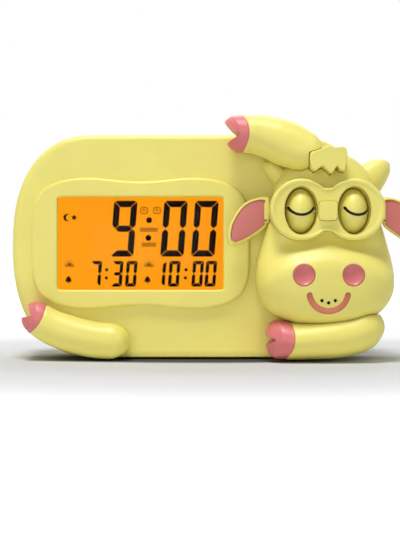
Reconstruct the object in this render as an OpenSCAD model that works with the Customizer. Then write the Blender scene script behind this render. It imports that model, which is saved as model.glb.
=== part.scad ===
// A free-standing children's alarm clock: a long rounded body with a display on the left
// and an animal's head resting on its fore leg on the right. The front faces -Y.
// Lengths are in millimetres. The origin is the middle of the footprint, on the ground.

/* [Body] */
// Length of the body, without the head
body_l = 170; // [164:1:180]
// Height of the body shells
body_h = 105; // [102:1:112]
// Depth of the body shells
body_d = 46; // [44:1:56]
// Length of each rounded end
body_end = 40; // [36:1:44]
// Depth of the front shell, up to the seam
seam_d = 14; // [13:0.5:17]
// Wall thickness of the mouldings
wall = 2.2; // [1.8:0.1:2.6]
// Radius of the outer edges of the body
edge_r = 3; // [2.4:0.2:4]
// Thickness of the rubber feet
foot_h = 1; // [0.8:0.1:2.5]
// Radius of the rubber feet
foot_r = 5; // [4:0.5:7]

/* [Display] */
// Height of the middle of the window above the body's middle
display_dz = 1.1; // [0:0.1:2]
// Distance from the left end of the body to the wavy surround
surround_end = 9.85; // [9:0.05:11]
// Gap between the surround and the muzzle
surround_gap = 2.45; // [2.2:0.05:4]
// Width of the surround at either side of the window
window_margin = 11.8; // [11:0.1:13]
// Height of the body's face above and below the surround
surround_edge = 21.85; // [20:0.05:23]
// Height of the surround above and below the window
window_edge = 8.85; // [8:0.05:10]
// How far the surround stands proud of the body
surround_t = 2.5; // [2.2:0.1:3.5]
// Depth of the dips at the middle of the surround's long edges
surround_dip = 2.3; // [1:0.1:3]
// Thickness of the liquid crystal panel
lcd_t = 2.8; // [2.2:0.1:3.2]

/* [Head] */
// Distance from the right end of the body to the middle of the head
head_end = 23.9; // [22:0.1:26]
// Height of the middle of the skull
skull_z = 74; // [73:0.5:75]
// Radius of the skull
skull_r = 24.1; // [23.6:0.1:25]
// Height of the widest point of the muzzle
muzzle_z = 37; // [36:0.5:38]
// Half of the muzzle's width
muzzle_w = 32.5; // [31.5:0.5:34]
// Depth of the face in front of the body
face_d = 18; // [17.6:0.1:18.6]
// How far the muzzle stands in front of the face
muzzle_d = 9.5; // [9:0.1:11]
// Size of the nostrils
nostril_r = 5; // [4:0.1:5.4]
// Radius of the smile's middle line
smile_r = 8.7; // [8:0.1:9.5]
// Width of the smile's groove
smile_w = 2.5; // [1.5:0.1:3]

/* [Eyes] */
// Distance between the middles of the two eyes
eye_gap = 24; // [23.4:0.2:24.6]
// Height of the eyes' axle
eye_z = 69.1; // [68.6:0.1:69.6]
// Radius of an eyeball, square to its axle
eye_r = 10.35; // [9.5:0.05:10.6]
// Half of an eyeball's width, along its axle
eye_w = 7; // [6.2:0.1:7.4]
// How far the eyeballs stand in front of the goggles
eye_proud = 1.5; // [0.8:0.1:2]
// Gap between an eyeball and its hole
eye_hole_gap = 1.1; // [0.8:0.1:1.2]
// Front of the goggles, in front of the body
goggles_d = 24; // [23.6:0.1:24.6]
// Radius of each lobe of the goggles
goggles_r = 14; // [13.6:0.1:14.4]

/* [Battery box] */
// Length of a cell
cell_l = 50.5; // [44.5:0.5:51]
// Diameter of a cell
cell_d = 14.5; // [10.5:0.5:14.7]
// Thickness of the battery door
door_t = 1.8; // [1.4:0.1:2]

/* [Buttons] */
// Radius of a rear button
button_r = 3.5; // [3:0.1:4]
// How far a rear button stands proud
button_proud = 1; // [0.9:0.1:1.6]
// Travel of a rear button
button_travel = 0.8; // [0.5:0.05:0.8]
// Distance between rear buttons
button_pitch = 16; // [13:0.5:17]
// Travel of the tuft, which is the light and snooze button
tuft_travel = 1.2; // [0.6:0.1:1.4]
// Travel of the slide switch
switch_travel = 4; // [3:0.5:5]

/* [Hidden] */

// Colours
YELLOW = [0.90, 0.86, 0.47];
PINK = [0.90, 0.50, 0.47];
ORANGE = [1.0, 0.6, 0.05];
GREEN = [0.1, 0.4, 0.2];
STEEL = [0.75, 0.75, 0.77];
WHITE = [0.93, 0.93, 0.9];
DARK = [0.12, 0.12, 0.13];

// Clearances
fit = 0.1;        // pieces that are pushed together by hand
run_fit = 0.05;   // radial, for an axle in its bearing
slip = 0.3;       // all round a moving cap in its opening
rest_gap = 0.2;   // a flange behind the wall that stops it

// Places in the clock's own frame: x from the body's middle, y from its front plane, z from the ground
ear_reach = 44.8;
body_z = foot_h + body_h / 2;
body_top = foot_h + body_h;
head_dx = body_l / 2 - head_end;
head_level = 106;        // height of the body's top in the head's own frame
head_follow = 0.8;       // how far the head rises for each millimetre that the body's top rises
head_dz = head_follow * (body_top - head_level);
surround_h = body_h - 2 * surround_edge;
window_h = surround_h - 2 * window_edge;
surround_w = body_l / 2 + head_dx - muzzle_w - surround_gap - surround_end;
display_dx = body_l / 2 - surround_end - surround_w / 2;
window_w = surround_w - 2 * window_margin;
display_z = body_z + display_dz;
place_x = -(head_dx + ear_reach - body_l / 2) / 2;
place_y = -(body_d + button_proud - face_d - muzzle_d) / 2;

module place() {
    translate([place_x, place_y, 0]) children();
}

module place_display() {
    place() translate([-display_dx, 0, display_z]) children();
}

module at_head() {
    translate([head_dx, 0, head_dz]) children();
}

module place_head() {
    place() at_head() children();
}

// ---------------------------------------------------------------- lofts

function mean_point(ring) = let (n = len(ring)) [for (c = [0:2]) sum_of(ring, c) / n];

function sum_of(ring, c) = [for (p = ring) p[c]] * [for (p = ring) 1];

function loft_faces(m, n) = concat(
    [for (k = [0:n - 1]) [m * n, (k + 1) % n, k]],
    [for (r = [0:m - 2]) for (k = [0:n - 1]) each
        let (a = r * n + k, b = r * n + (k + 1) % n) [[a, b, b + n], [a, b + n, a + n]]],
    [for (k = [0:n - 1]) [m * n + 1, (m - 1) * n + k, (m - 1) * n + (k + 1) % n]]);

function reversed(face) = [face[2], face[1], face[0]];

// A closed solid through rings of equally many points, with a fan over each end
module loft(rings, flip = false) {
    n = len(rings[0]);
    m = len(rings);
    faces = loft_faces(m, n);
    points = concat([for (r = rings) each r], [mean_point(rings[0]), mean_point(rings[m - 1])]);
    polyhedron(points, flip ? [for (f = faces) reversed(f)] : faces);
}

function signed_pow(v, p) = sign(v) * pow(abs(v), p);

// A value that eases from 0 to 1 as t does
function smooth(t) = let (c = min(1, max(0, t))) c * c * (3 - 2 * c);

// Catmull-Rom value at u of a list of rows, one row for each whole u
function row_at(rows, i) = rows[min(len(rows) - 1, max(0, i))];

function spline(rows, u) =
    let (i = min(len(rows) - 2, max(0, floor(u))), t = u - i,
         a = row_at(rows, i - 1), b = rows[i], c = rows[i + 1], d = row_at(rows, i + 2))
    0.5 * (2 * b + (c - a) * t + (2 * a - 5 * b + 4 * c - d) * t * t
        + (3 * b - a - 3 * c + d) * t * t * t);

// One cross-section of a limb. A row holds x, z, half-width, middle depth and half-depth.
// The section is an oval square to the path, bowed along it by bow, and seat() keeps it
// clear of what it rests on.
function limb_ring(rows, u, n, bow, seat) =
    let (c = spline(rows, u), d = spline(rows, u + 0.05) - spline(rows, u - 0.05),
         l = norm([d[0], d[1]]), tx = d[0] / l, tz = d[1] / l)
    [for (k = [0:n - 1])
        let (a = 360 * (k + 0.5) / n, w = c[2] * cos(a), b = bow * pow(sin(a), 2))
        seat([c[0] - tz * w + tx * b, c[3] - c[4] * sin(a), c[1] + tx * w + tz * b])];

// ---------------------------------------------------------------- body shells

END_STEPS = 24;

function body_ring(inset, y) = [
    for (side = [1, -1]) for (i = [0:END_STEPS])
        let (t = (side > 0 ? -90 : 90) + 180 * i / END_STEPS)
        [side * (body_l / 2 - body_end) + (body_end - inset) * signed_pow(cos(t), 2 / body_curve),
         y,
         body_z + (body_h / 2 - inset) * signed_pow(sin(t), 2 / body_curve)]];

body_curve = 2.4;       // exponent of the super-ellipse of the rounded ends
lip = wall / 2;         // half of the wall, where the two shells overlap
lip_l = 2;              // length of the overlap

// Outer rounded edge, from the flat face to the side, for a face at y0 that looks along dir
function edge_rings(y0, dir) = [for (a = [0:22.5:90])
    body_ring(edge_r * (1 - sin(a)), y0 - dir * edge_r * (1 - cos(a)))];

// Inner rounded edge, from the inside of the side wall to the inside of the face
function inner_rings(y0, dir) = [for (a = [90:-30:0])
    body_ring(wall + edge_r * (1 - sin(a)), y0 - dir * (wall + edge_r * (1 - cos(a))))];

screw_x = body_l / 2 - 17;
screw_z = body_h / 2 - 15.5;
boss_r = 3.5;
boss_end = seam_d + 6;
screw_r = 1.5;
screw_head_r = 2.8;
head_seat_y = body_d - 10;   // where the heads of the case screws bear

module at_case_screws() {
    for (x = [-screw_x, screw_x]) for (z = [-screw_z, screw_z]) {
        translate([x, 0, body_z + z]) children();
    }
}

// A round bar along +Y from y0 to y1
module bar(r, y0, y1) {
    translate([0, y1, 0]) rotate([90, 0, 0]) cylinder(r = r, h = y1 - y0, $fn = 32);
}

// A box from its lowest corner to its highest
module box(a, b) {
    translate(a) cube(b - a);
}

collar_w = window_w + 6;
collar_h = window_h + 6;
collar_l = 6;
board_y = 12;            // front face of the main board
board_t = 1.6;
post_r = 2.5;
post_x = window_w / 2 + 7.2;
post_z = window_h / 2 + 6.2;

module at_board_posts() {
    translate([-display_dx, 0, display_z]) for (x = [-post_x, post_x]) for (z = [-post_z, post_z]) {
        translate([x, 0, z]) children();
    }
}

peg_r = 2.5;
peg_l = 3;
wire_hole_r = 4;

module body_front() {
    color(YELLOW) place() difference() {
        union() {
            loft(concat(edge_rings(0, -1),
                [body_ring(0, seam_d), body_ring(lip, seam_d), body_ring(lip, seam_d - lip_l),
                 body_ring(wall, seam_d - lip_l)],
                inner_rings(0, -1)));
            at_case_screws() bar(boss_r, wall - fit, boss_end);
            at_board_posts() bar(post_r, wall - fit, board_y);
        }
        at_case_screws() bar(screw_r - 0.2, wall + 4, boss_end + 1);
        at_board_posts() bar(0.9, wall + 2, board_y + 1);
        translate([-display_dx, 0, display_z]) {
            box([-collar_w / 2 - fit, -1, -collar_h / 2 - fit], [collar_w / 2 + fit, wall + 1, collar_h / 2 + fit]);
        }
        at_limb_pegs() bar(peg_r + run_fit, -1, wall + 1);
        at_head() {
            at_head_screws() {
                bar(screw_r + 0.2, -1, wall + 1);
                bar(screw_head_r - 0.2, wall + fit / 2, wall + 3);
            }
            translate([-8, 0, muzzle_z + 7]) bar(wire_hole_r, -1, wall + 1);
        }
    }
}

button_x = body_l / 2 - 48.5;
button_z = body_z + 16.5;
switch_z = body_z - 3.5;
cap_flange_r = button_r + 1;
knob_w = 4;
knob_h = 3;

function button_places() = [for (row = [0, 1]) for (col = [-1:1])
    [button_x + col * button_pitch, button_z + (row - 0.5) * button_pitch]];

box_wall = 1.5;
box_w = cell_l + 5.5;
box_x = -(box_w / 2 + 2.4);
box_z = body_z - 7.5;
box_h = 3 * (cell_d + 0.5) + 2;
box_depth = cell_d + 2.5;
rim = 3;                 // width of the box's rim behind the rear wall
door_rest = 1;           // overlap of the door on the rim

key_board_y = body_d - 10;     // front face of the button board
key_board_w = 3 * button_pitch + 8;
key_board_h = 44;
key_board_z = body_z + 12.5;

module at_key_posts() {
    for (x = [-1, 1]) for (z = [-1, 1]) {
        translate([button_x + x * (key_board_w / 2 - 3), 0, key_board_z + z * (key_board_h / 2 - 3)]) children();
    }
}

module body_rear() {
    color(YELLOW) place() difference() {
        union() {
            loft(concat(
                [for (i = [len(edge_rings(0, 1)) - 1:-1:0]) edge_rings(body_d, 1)[len(edge_rings(0, 1)) - 1 - i]],
                [body_ring(0, seam_d), body_ring(lip + fit, seam_d),
                 body_ring(lip + fit, seam_d - lip_l + fit), body_ring(wall, seam_d - lip_l + fit)],
                inner_rings(body_d, 1)), true);
            at_case_screws() bar(boss_r, boss_end, body_d - wall + fit);
            at_key_posts() bar(post_r, key_board_y + board_t, body_d - wall + fit);
        }
        at_case_screws() {
            bar(screw_r + 0.2, boss_end - 1, body_d + 1);
            bar(screw_head_r + 0.3, head_seat_y, body_d + 1);
        }
        at_key_posts() bar(0.9, key_board_y, body_d - wall - 1);
        for (p = button_places()) {
            translate([p[0], 0, p[1]]) bar(button_r + slip, body_d - wall - 1, body_d + 1);
        }
        translate([button_x, 0, switch_z]) {
            box([-knob_w / 2 - slip, body_d - wall - 1, -knob_h / 2 - slip],
                [knob_w / 2 + switch_travel + slip, body_d + 1, knob_h / 2 + slip]);
        }
        translate([box_x, 0, box_z]) {
            box([-box_w / 2 - door_rest - slip, body_d - wall - 1, -box_h / 2 - door_rest - slip],
                [box_w / 2 + door_rest + slip, body_d + 1, box_h / 2 + door_rest + slip]);
        }
    }
}

module case_screws() {
    color(STEEL) place() at_case_screws() {
        bar(screw_r - 0.2, wall + 6, head_seat_y);
        bar(screw_head_r, head_seat_y, head_seat_y + 2);
    }
}

foot_x = body_l / 2 - 45;
foot_y = 8;

module feet() {
    color(DARK) place() for (x = [-foot_x, foot_x]) for (y = [foot_y, body_d - foot_y]) {
        translate([x, y, 0]) cylinder(r = foot_r, h = foot_h, $fn = 48);
    }
}

// ---------------------------------------------------------------- display

surround_curve = 4.4;
SURROUND_STEPS = 72;
dip_reach = surround_w * 0.29;

function surround_ring(inset, y) = [for (i = [0:SURROUND_STEPS - 1])
    let (t = 360 * (i + 0.5) / SURROUND_STEPS,
         r = pow(pow(abs(cos(t)) / (surround_w / 2 - inset), surround_curve)
               + pow(abs(sin(t)) / (surround_h / 2 - inset), surround_curve), -1 / surround_curve),
         x = r * cos(t), reach = min(1, abs(x) / dip_reach),
         dip = surround_dip * (1 + cos(180 * reach)) / 2)
    [x, y, r * sin(t) * (1 - dip / (surround_h / 2))]];

rim_r = 1.4;
front_t = 1.3;       // thickness of the surround round the window
lens_t = 1;
pocket_w = window_w + 1.8;
pocket_h = window_h + 1.8;
lens_y = -surround_t + front_t + 0.05;
lcd_y = lens_y + lens_t + 0.05;
guide_y = lcd_y + lcd_t + 0.1;
guide_t = 3.5;

module display_surround() {
    color(YELLOW) place_display() difference() {
        union() {
            loft([for (a = [0:30:90]) surround_ring(rim_r * (1 - sin(a)), -surround_t + rim_r * (1 - cos(a)))
                , surround_ring(0, 0)]);
            box([-collar_w / 2, -0.5, -collar_h / 2], [collar_w / 2, collar_l, collar_h / 2]);
        }
        box([-window_w / 2, -surround_t - 1, -window_h / 2], [window_w / 2, 0, window_h / 2]);
        box([-pocket_w / 2, -surround_t + front_t, -pocket_h / 2], [pocket_w / 2, collar_l + 1, pocket_h / 2]);
    }
}

module panel(w, h, y0, y1) {
    box([-w / 2, y0, -h / 2], [w / 2, y1, h / 2]);
}

module display_lens() {
    color(WHITE, 0.3) place_display() panel(pocket_w - fit, pocket_h - fit, lens_y, lens_y + lens_t);
}

module lcd_panel() {
    color(ORANGE) place_display() panel(pocket_w - fit, pocket_h - fit, lcd_y, lcd_y + lcd_t);
}

strip_t = 2;
strip_z = pocket_h / 2 - strip_t / 2 - 0.5;

module backlight_guide() {
    color(WHITE) place_display() panel(pocket_w - fit, pocket_h - 2 * strip_t - 2, guide_y, guide_y + guide_t);
}

module lcd_contacts() {
    color(DARK) place_display() for (side = [-1, 1]) translate([0, 0, side * strip_z]) {
        panel(pocket_w - 8, strip_t, lcd_y + lcd_t + 0.05, board_y - 0.05);
    }
}

module backlight_leds() {
    color(ORANGE) place_display() for (i = [-3:2:3]) translate([i * window_w / 9, 0, 0]) {
        panel(3.5, 2.8, board_y - 2, board_y);
    }
}

module main_board() {
    color(GREEN) place() difference() {
        translate([-display_dx, 0, display_z]) {
            panel(2 * (post_x + 3), 2 * (post_z + 3), board_y, board_y + board_t);
        }
        at_board_posts() bar(1.2, board_y - 1, board_y + board_t + 1);
    }
}

module main_board_screws() {
    color(STEEL) place() at_board_posts() {
        bar(0.9, wall + 3, board_y + board_t);
        bar(2.1, board_y + board_t, board_y + board_t + 1.3);
    }
}

module clock_chip() {
    color(DARK) place_display() {
        panel(14, 14, board_y + board_t, board_y + board_t + 1.8);
        translate([20, 0, 6]) panel(8, 3, board_y + board_t, board_y + board_t + 3);
        translate([-22, 0, -4]) bar(4, board_y + board_t, board_y + board_t + 7);
    }
}

// ---------------------------------------------------------------- head

HEAD_STEPS = 48;
head_mid = 52;                  // height from which the head's rings are scaled
muzzle_up = 35;                 // reach of the muzzle's curve above and below its widest point
muzzle_down = 20.4;
head_edge = 3;                  // depth of the straight side at the back of the head
head_top = skull_z + skull_r;
head_low = muzzle_z - muzzle_down;
head_span = (head_top - head_low) / 2;

function skull_half(z) = sqrt(max(0, skull_r * skull_r - pow(z - skull_z, 2)));

function muzzle_half(z) =
    let (u = abs(z - muzzle_z) / (z > muzzle_z ? muzzle_up : muzzle_down))
    u >= 1 ? 0 : muzzle_w * pow(1 - pow(u, 2.2), 1 / 2.2);

function head_half(z) = pow(pow(skull_half(z), 4) + pow(muzzle_half(z), 4), 0.25);

// How far the face stands in front of the body at height z, and how it falls off to its edge
function face_depth(z) = face_d + muzzle_d * smooth((57.5 - z) / 11);

function pillow(s) = pow(1 - pow(min(1, s), 4), 0.25);

function head_point(t, s) =
    let (z = head_low + head_span * (1 + sin(t)), x = sign(cos(t)) * head_half(z))
    [s * x, head_mid + s * (z - head_mid)];

function head_ring(s, y) = [for (i = [0:HEAD_STEPS - 1])
    let (p = head_point(360 * (i + 0.5) / HEAD_STEPS, s)) [p[0], y, p[1]]];

function face_ring(s, inset) = [for (i = [0:HEAD_STEPS - 1])
    let (t = 360 * (i + 0.5) / HEAD_STEPS, p = head_point(t, s * head_scale(inset)))
    [p[0], -head_edge - (face_depth(p[1]) - inset - head_edge) * pillow(s), p[1]]];

function head_scale(inset) = 1 - inset / 29;

// Front of the head at a place on the upper face: how far it stands in front of the body
function skull_front(x, z) =
    let (c = skull_z - head_mid, h = z - head_mid, a = skull_r * skull_r - c * c, b = 2 * c * h,
         s = (-b + sqrt(b * b + 4 * a * (x * x + h * h))) / (2 * a))
    head_edge * smooth((1.1 - s) / 0.08) + (face_d - head_edge) * pillow(s);

// Lowest point of the head at a distance x from its middle, d in front of the body
function chin(x, d) =
    let (s = pow(max(0, 1 - pow(max(0, d - head_edge) / (face_d + muzzle_d - head_edge), 4)), 0.25),
         u = min(1, abs(x) / muzzle_w / max(0.05, s)),
         z = muzzle_z - muzzle_down * pow(1 - pow(u, 2.2), 1 / 2.2))
    u >= 1 ? muzzle_z : head_mid - s * (head_mid - z);

eye_x = eye_gap / 2;
eye_y = -(goggles_d + eye_proud - eye_r);
goggles_z = eye_z + 0.4;
goggles_half = eye_x + goggles_r;
GOGGLES_STEPS = 64;
waist_curve = 2.29;

function lobe_height(x) = sqrt(max(0, goggles_r * goggles_r - pow(x, 2)));

function goggles_height(x) =
    pow(pow(lobe_height(x - eye_x), waist_curve) + pow(lobe_height(x + eye_x), waist_curve), 1 / waist_curve);

function goggles_outline(inset) = [for (i = [0:GOGGLES_STEPS - 1])
    let (t = 360 * (i + 0.5) / GOGGLES_STEPS, x = goggles_half * cos(t), z = sign(sin(t)) * goggles_height(x))
    [x * (1 - inset / goggles_half), z * (1 - inset / goggles_r)]];

function goggles_ring(inset, y) = [for (p = goggles_outline(inset)) [p[0], y, goggles_z + p[1]]];

function oval(a, b, n = 40) = [for (i = [0:n - 1]) [a * cos(360 * i / n), b * sin(360 * i / n)]];

// A prism of an outline in x and z, from y0 to y1
module slab(outline, y0, y1) {
    translate([0, y1, 0]) rotate([90, 0, 0]) linear_extrude(height = y1 - y0) polygon(outline);
}

socket_y = -12;          // floor of the recess that the goggles sit in

tuft_points = [
    [-8.3, 92.5], [-8.0, 97.4], [-5.0, 97.6], [-1.7, 99.6], [0.3, 99.7], [3.4, 98.2], [7.2, 98.2],
    [8.3, 96.8], [8.5, 92.5], [7.4, 86.6], [5.2, 87.2], [4.2, 89.3], [1.4, 85.4],
    [-2.4, 89.2], [-6.0, 86.6], [-7.8, 88.4]
];
tuft_mid = [0, 92.5];
tuft_front = 25.5;
tuft_back = 12.4;
flange_t = 1.2;

function grown(points, mid, by) = [for (p = points)
    let (d = p - mid) mid + d * (1 + by / norm(d))];

// The way that the tuft moves in, as wide as its outline with a gap all round
module tuft_opening(gap) {
    y1 = -tuft_back + flange_t + tuft_travel + slip;
    translate([0, y1, 0]) rotate([90, 0, 0]) linear_extrude(height = 40) {
        offset(delta = gap) polygon(tuft_points);
    }
}

boss_xz = [[-16.5, 50], [16.5, 50], [-10.5, 83], [10.5, 83]];

module at_head_screws() {
    for (p = boss_xz) translate([p[0], 0, p[1]]) children();
}

plate_t = 2.2;           // thickness of the head's back plate
plate_scale = head_scale(wall) - 0.006;
speaker_r = 7.8;
speaker_z = 32;
speaker_y = -17;
speaker_t = 4;
smile_z = 32.4;
smile_from = 190;
smile_turn = 160;
smile_back = 21.5;
ear_root_x = 24.5;
ear_root_z = 69.5;
tab_w = 8;
tab_t = 2.6;
tab_l = 3.5;
ear_y = -9.3;
horn_angle = 26;

module smile_band(half_w, y0, y1) {
    translate([0, y1, smile_z]) rotate([90, 0, 0]) {
        rotate_extrude(angle = smile_turn, start = smile_from, $fn = 64) {
            translate([smile_r - half_w, 0]) square([2 * half_w, y1 - y0]);
        }
        for (a = [smile_from, smile_from + smile_turn]) {
            translate([smile_r * cos(a), smile_r * sin(a), 0]) cylinder(r = half_w, h = y1 - y0, $fn = 32);
        }
    }
}

module at_nostril(side) {
    translate([side * 11.1, 0, muzzle_z + 3]) children();
}

module at_horn(side) {
    mirror([side > 0 ? 0 : 1, 0, 0]) translate([0, -4, skull_z]) rotate([0, 90 - horn_angle, 0]) children();
}

module ear_tab(side, gap) {
    box([side * ear_root_x - tab_l - gap, ear_y - tab_t / 2 - gap, ear_root_z - tab_w / 2 - gap],
        [side * ear_root_x + tab_l + gap, ear_y + tab_t / 2 + gap, ear_root_z + tab_w / 2 + gap]);
}

module head_shell() {
    color(YELLOW) place_head() difference() {
        union() {
            difference() {
                loft(concat([head_ring(0.97, 0), head_ring(1, -head_edge / 2)],
                    [for (s = [1, 0.985, 0.955, 0.9, 0.82, 0.7, 0.54, 0.36, 0.18]) face_ring(s, 0)]), true);
                loft(concat([head_ring(head_scale(wall), 1)],
                    [for (s = [1, 0.97, 0.9, 0.78, 0.6, 0.4, 0.2]) face_ring(s, wall)]), true);
            }
            for (p = boss_xz) translate([p[0], 0, p[1]]) bar(2.8, -skull_inside(p[1]), -plate_t - fit);
        }
        at_head_screws() bar(screw_r - 0.2, -13, 0);
        slab([for (p = goggles_outline(-fit)) [p[0], goggles_z + p[1]]], -40, socket_y);
        tuft_opening(slip);
        for (side = [-1, 1]) {
            at_nostril(side) bar(nostril_r + fit, -40, -smile_back);
            ear_tab(side, fit);
            at_horn(side) translate([0, 0, skull_r - 6]) cylinder(r = 2 + run_fit, h = 12, $fn = 32);
        }
        smile_band(smile_w / 2 + fit, -40, -smile_back + 0.5);
        for (i = [-1:1]) {
            translate([3 * i, 0, 27.5 + abs(i)]) bar(0.8, -40, -smile_back + 2);
        }
    }
}

// How far in front of the body a screw boss has to reach to meet the inside of the face
function skull_inside(z) = z > muzzle_z + 30 ? 13.6 : 20;

module head_back() {
    color(YELLOW) place_head() difference() {
        union() {
            loft([head_ring(plate_scale, 0), head_ring(plate_scale, -plate_t)]);
            for (x = [-5.5, 5.5]) translate([x, 0, tuft_board_z]) bar(1.6, tuft_board_y + 1.2, -plate_t + fit);
        }
        at_head_screws() bar(screw_r + 0.2, -plate_t - 1, 1);
        translate([-8, 0, muzzle_z + 7]) bar(wire_hole_r, -plate_t - 1, 1);
    }
}

module head_screws() {
    color(STEEL) place_head() at_head_screws() {
        bar(screw_r - 0.2, -11.5, wall);
        bar(screw_head_r - 0.3, wall + fit, wall + 2);
    }
}

module goggles() {
    color(YELLOW) place_head() difference() {
        loft(concat([for (a = [0:30:90]) goggles_ring(1.5 * (1 - sin(a)), -goggles_d + 1.5 * (1 - cos(a)))],
            [goggles_ring(0, socket_y - fit), goggles_ring(2, socket_y - fit), goggles_ring(2, -goggles_d + 2.5)]));
        for (side = [-1, 1]) {
            slab([for (p = oval(eye_w + eye_hole_gap, eye_r + eye_hole_gap)) [side * eye_x + p[0], eye_z + p[1]]],
                -goggles_d - 1, -goggles_d + 3);
        }
        translate([0, 0, pad_z]) bar(1.2 + run_fit, -goggles_d - 1, -goggles_d + 3);
        box([-cheek_in - cheek_t - slip, -goggles_d + 6, goggles_z - goggles_r], [cheek_in + cheek_t + slip, 0, goggles_z]);
    }
}

pad_w = 8.3;
pad_h = 8.6;
pad_z = 68.8;

module bridge_pad() {
    color(YELLOW) place_head() translate([0, 0, pad_z]) {
        slab([for (a = [0:15:345]) [signed_pow(cos(a), 0.4) * pad_w / 2, signed_pow(sin(a), 0.4) * pad_h / 2]],
            -goggles_d - 1.5, -goggles_d);
        bar(1.2, -goggles_d - 0.5, -goggles_d + 2.4);
    }
}

// ---------------------------------------------------------------- eyes and their drive

axle_r = 1.5;
pin_r = 1;
tooth_module = 0.5;
axle_teeth = 20;
idler_teeth = 24;
pinion_teeth = 12;
gear_t = 3;
cheek_in = 2.6;          // inner face of each bearing cheek, from the middle
cheek_t = 1.2;
idler_y = -9.6;
idler_far = tooth_module * (axle_teeth + idler_teeth) / 2;
pinion_far = tooth_module * (idler_teeth + pinion_teeth) / 2;
idler_z = eye_z - sqrt(idler_far * idler_far - pow(idler_y - eye_y, 2));
pinion_z = idler_z - pinion_far;
idler_angle = atan2(idler_z - eye_z, idler_y - eye_y);
idler_phase = idler_angle + 180 + 180 / idler_teeth;
pitch_off = (-90 - idler_phase) - 360 / idler_teeth * round((-90 - idler_phase) / (360 / idler_teeth));
pinion_phase = 90 + pitch_off * idler_teeth / pinion_teeth + 180 / pinion_teeth;

// Toothed wheel in the plane of y and z, with a tooth at the angle phase from +Y
module gear(teeth, phase, t) {
    r = tooth_module * teeth / 2;
    p = 360 / teeth;
    rotate([90, 0, 90]) rotate([0, 0, phase]) linear_extrude(height = t, center = true) {
        polygon([for (i = [0:teeth - 1]) each [
            for (q = [[-0.34, -1.2], [-0.12, 0.85], [0.12, 0.85], [0.34, -1.2]])
            let (a = p * (i + q[0]), d = r + tooth_module * q[1]) [d * cos(a), d * sin(a)]]]);
    }
}

module shaft(r, x0, x1) {
    translate([x0, 0, 0]) rotate([0, 90, 0]) cylinder(r = r, h = x1 - x0, $fn = 32);
}

module eyeball(side) {
    color(YELLOW) place_head() translate([side * eye_x, eye_y, eye_z]) difference() {
        rotate([0, 90, 0]) rotate_extrude($fn = 64) polygon(concat(
            [for (a = [-90:7.5:90]) [max(0, eye_r * cos(a)), eye_w * sin(a)]]));
        shaft(axle_r + fit / 4, -eye_w - 1, eye_w + 1);
    }
}

module eye_left() {
    eyeball(-1);
}

module eye_right() {
    eyeball(1);
}

axle_end = eye_x + eye_w + 1.5;

module eye_axle() {
    color(STEEL) place_head() translate([0, eye_y, eye_z]) shaft(axle_r, -axle_end, axle_end);
}

module axle_gear() {
    color(WHITE) place_head() translate([0, eye_y, eye_z]) difference() {
        gear(axle_teeth, idler_angle, gear_t);
        shaft(axle_r + fit / 4, -gear_t, gear_t);
    }
}

module idler_gear() {
    color(WHITE) place_head() translate([0, idler_y, idler_z]) {
        gear(idler_teeth, idler_phase, gear_t);
        shaft(pin_r, -cheek_in - cheek_t, cheek_in + cheek_t);
    }
}

module motor_pinion() {
    color(WHITE) place_head() translate([0, idler_y, pinion_z]) {
        gear(pinion_teeth, pinion_phase, gear_t);
        shaft(pin_r, -cheek_in - cheek_t, cheek_in + cheek_t + 3);
    }
}

motor_r = 5;
motor_l = 9.5;

module eye_motor() {
    color(STEEL) place_head() translate([0, idler_y, pinion_z]) difference() {
        shaft(motor_r, cheek_in + cheek_t, cheek_in + cheek_t + motor_l);
        shaft(pin_r + run_fit, cheek_in + cheek_t - 1, cheek_in + cheek_t + 4);
    }
}

module eye_frame() {
    bearing_out = eye_x + eye_w + 0.3;
    color(WHITE) place_head() difference() {
        union() {
            box([-bearing_out - cheek_t, -plate_t - 1.6, eye_z - 7], [bearing_out + cheek_t, -plate_t, eye_z + 7]);
            for (side = [-1, 1]) {
                x = side * (bearing_out + cheek_t / 2);
                box([x - cheek_t / 2, eye_y - 2, eye_z - 4], [x + cheek_t / 2, -plate_t - 1, eye_z + 4]);
                c = side * (cheek_in + cheek_t / 2);
                box([c - cheek_t / 2, -12, pinion_z - 5], [c + cheek_t / 2, -plate_t, eye_z]);
                box([c - cheek_t / 2, eye_y - 2.2, eye_z - 5], [c + cheek_t / 2, -plate_t, eye_z + 4]);
            }
        }
        translate([0, eye_y, eye_z]) shaft(axle_r + run_fit, -30, 30);
        box([-cheek_in, -plate_t - 3, eye_z - 8], [cheek_in, 0, eye_z - 2]);
        translate([0, idler_y, idler_z]) shaft(pin_r + run_fit, -10, 10);
        translate([0, idler_y, pinion_z]) shaft(pin_r + run_fit, -10, 10);
    }
}

module speaker() {
    color(DARK) place_head() translate([0, 0, speaker_z]) {
        bar(speaker_r, speaker_y - speaker_t, speaker_y);
        bar(speaker_r * 0.6, speaker_y, speaker_y + 3);
    }
}

module nostril(side) {
    color(PINK) place_head() at_nostril(side) difference() {
        union() {
            bar(nostril_r, -nostril_y, -smile_back);
            bar(nostril_r + 1, -smile_back - 1.2, -smile_back);
        }
        translate([0, -nostril_y - nostril_r * 1.2, 0]) sphere(r = nostril_r * 1.45, $fn = 48);
    }
}

nostril_y = face_d + muzzle_d - 0.4;

module nostril_left() {
    nostril(-1);
}

module nostril_right() {
    nostril(1);
}

module smile() {
    color(PINK) place_head() smile_band(smile_w / 2, -face_d - muzzle_d + 3.4, -smile_back);
}

// ---------------------------------------------------------------- ears, horns and tuft

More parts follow.
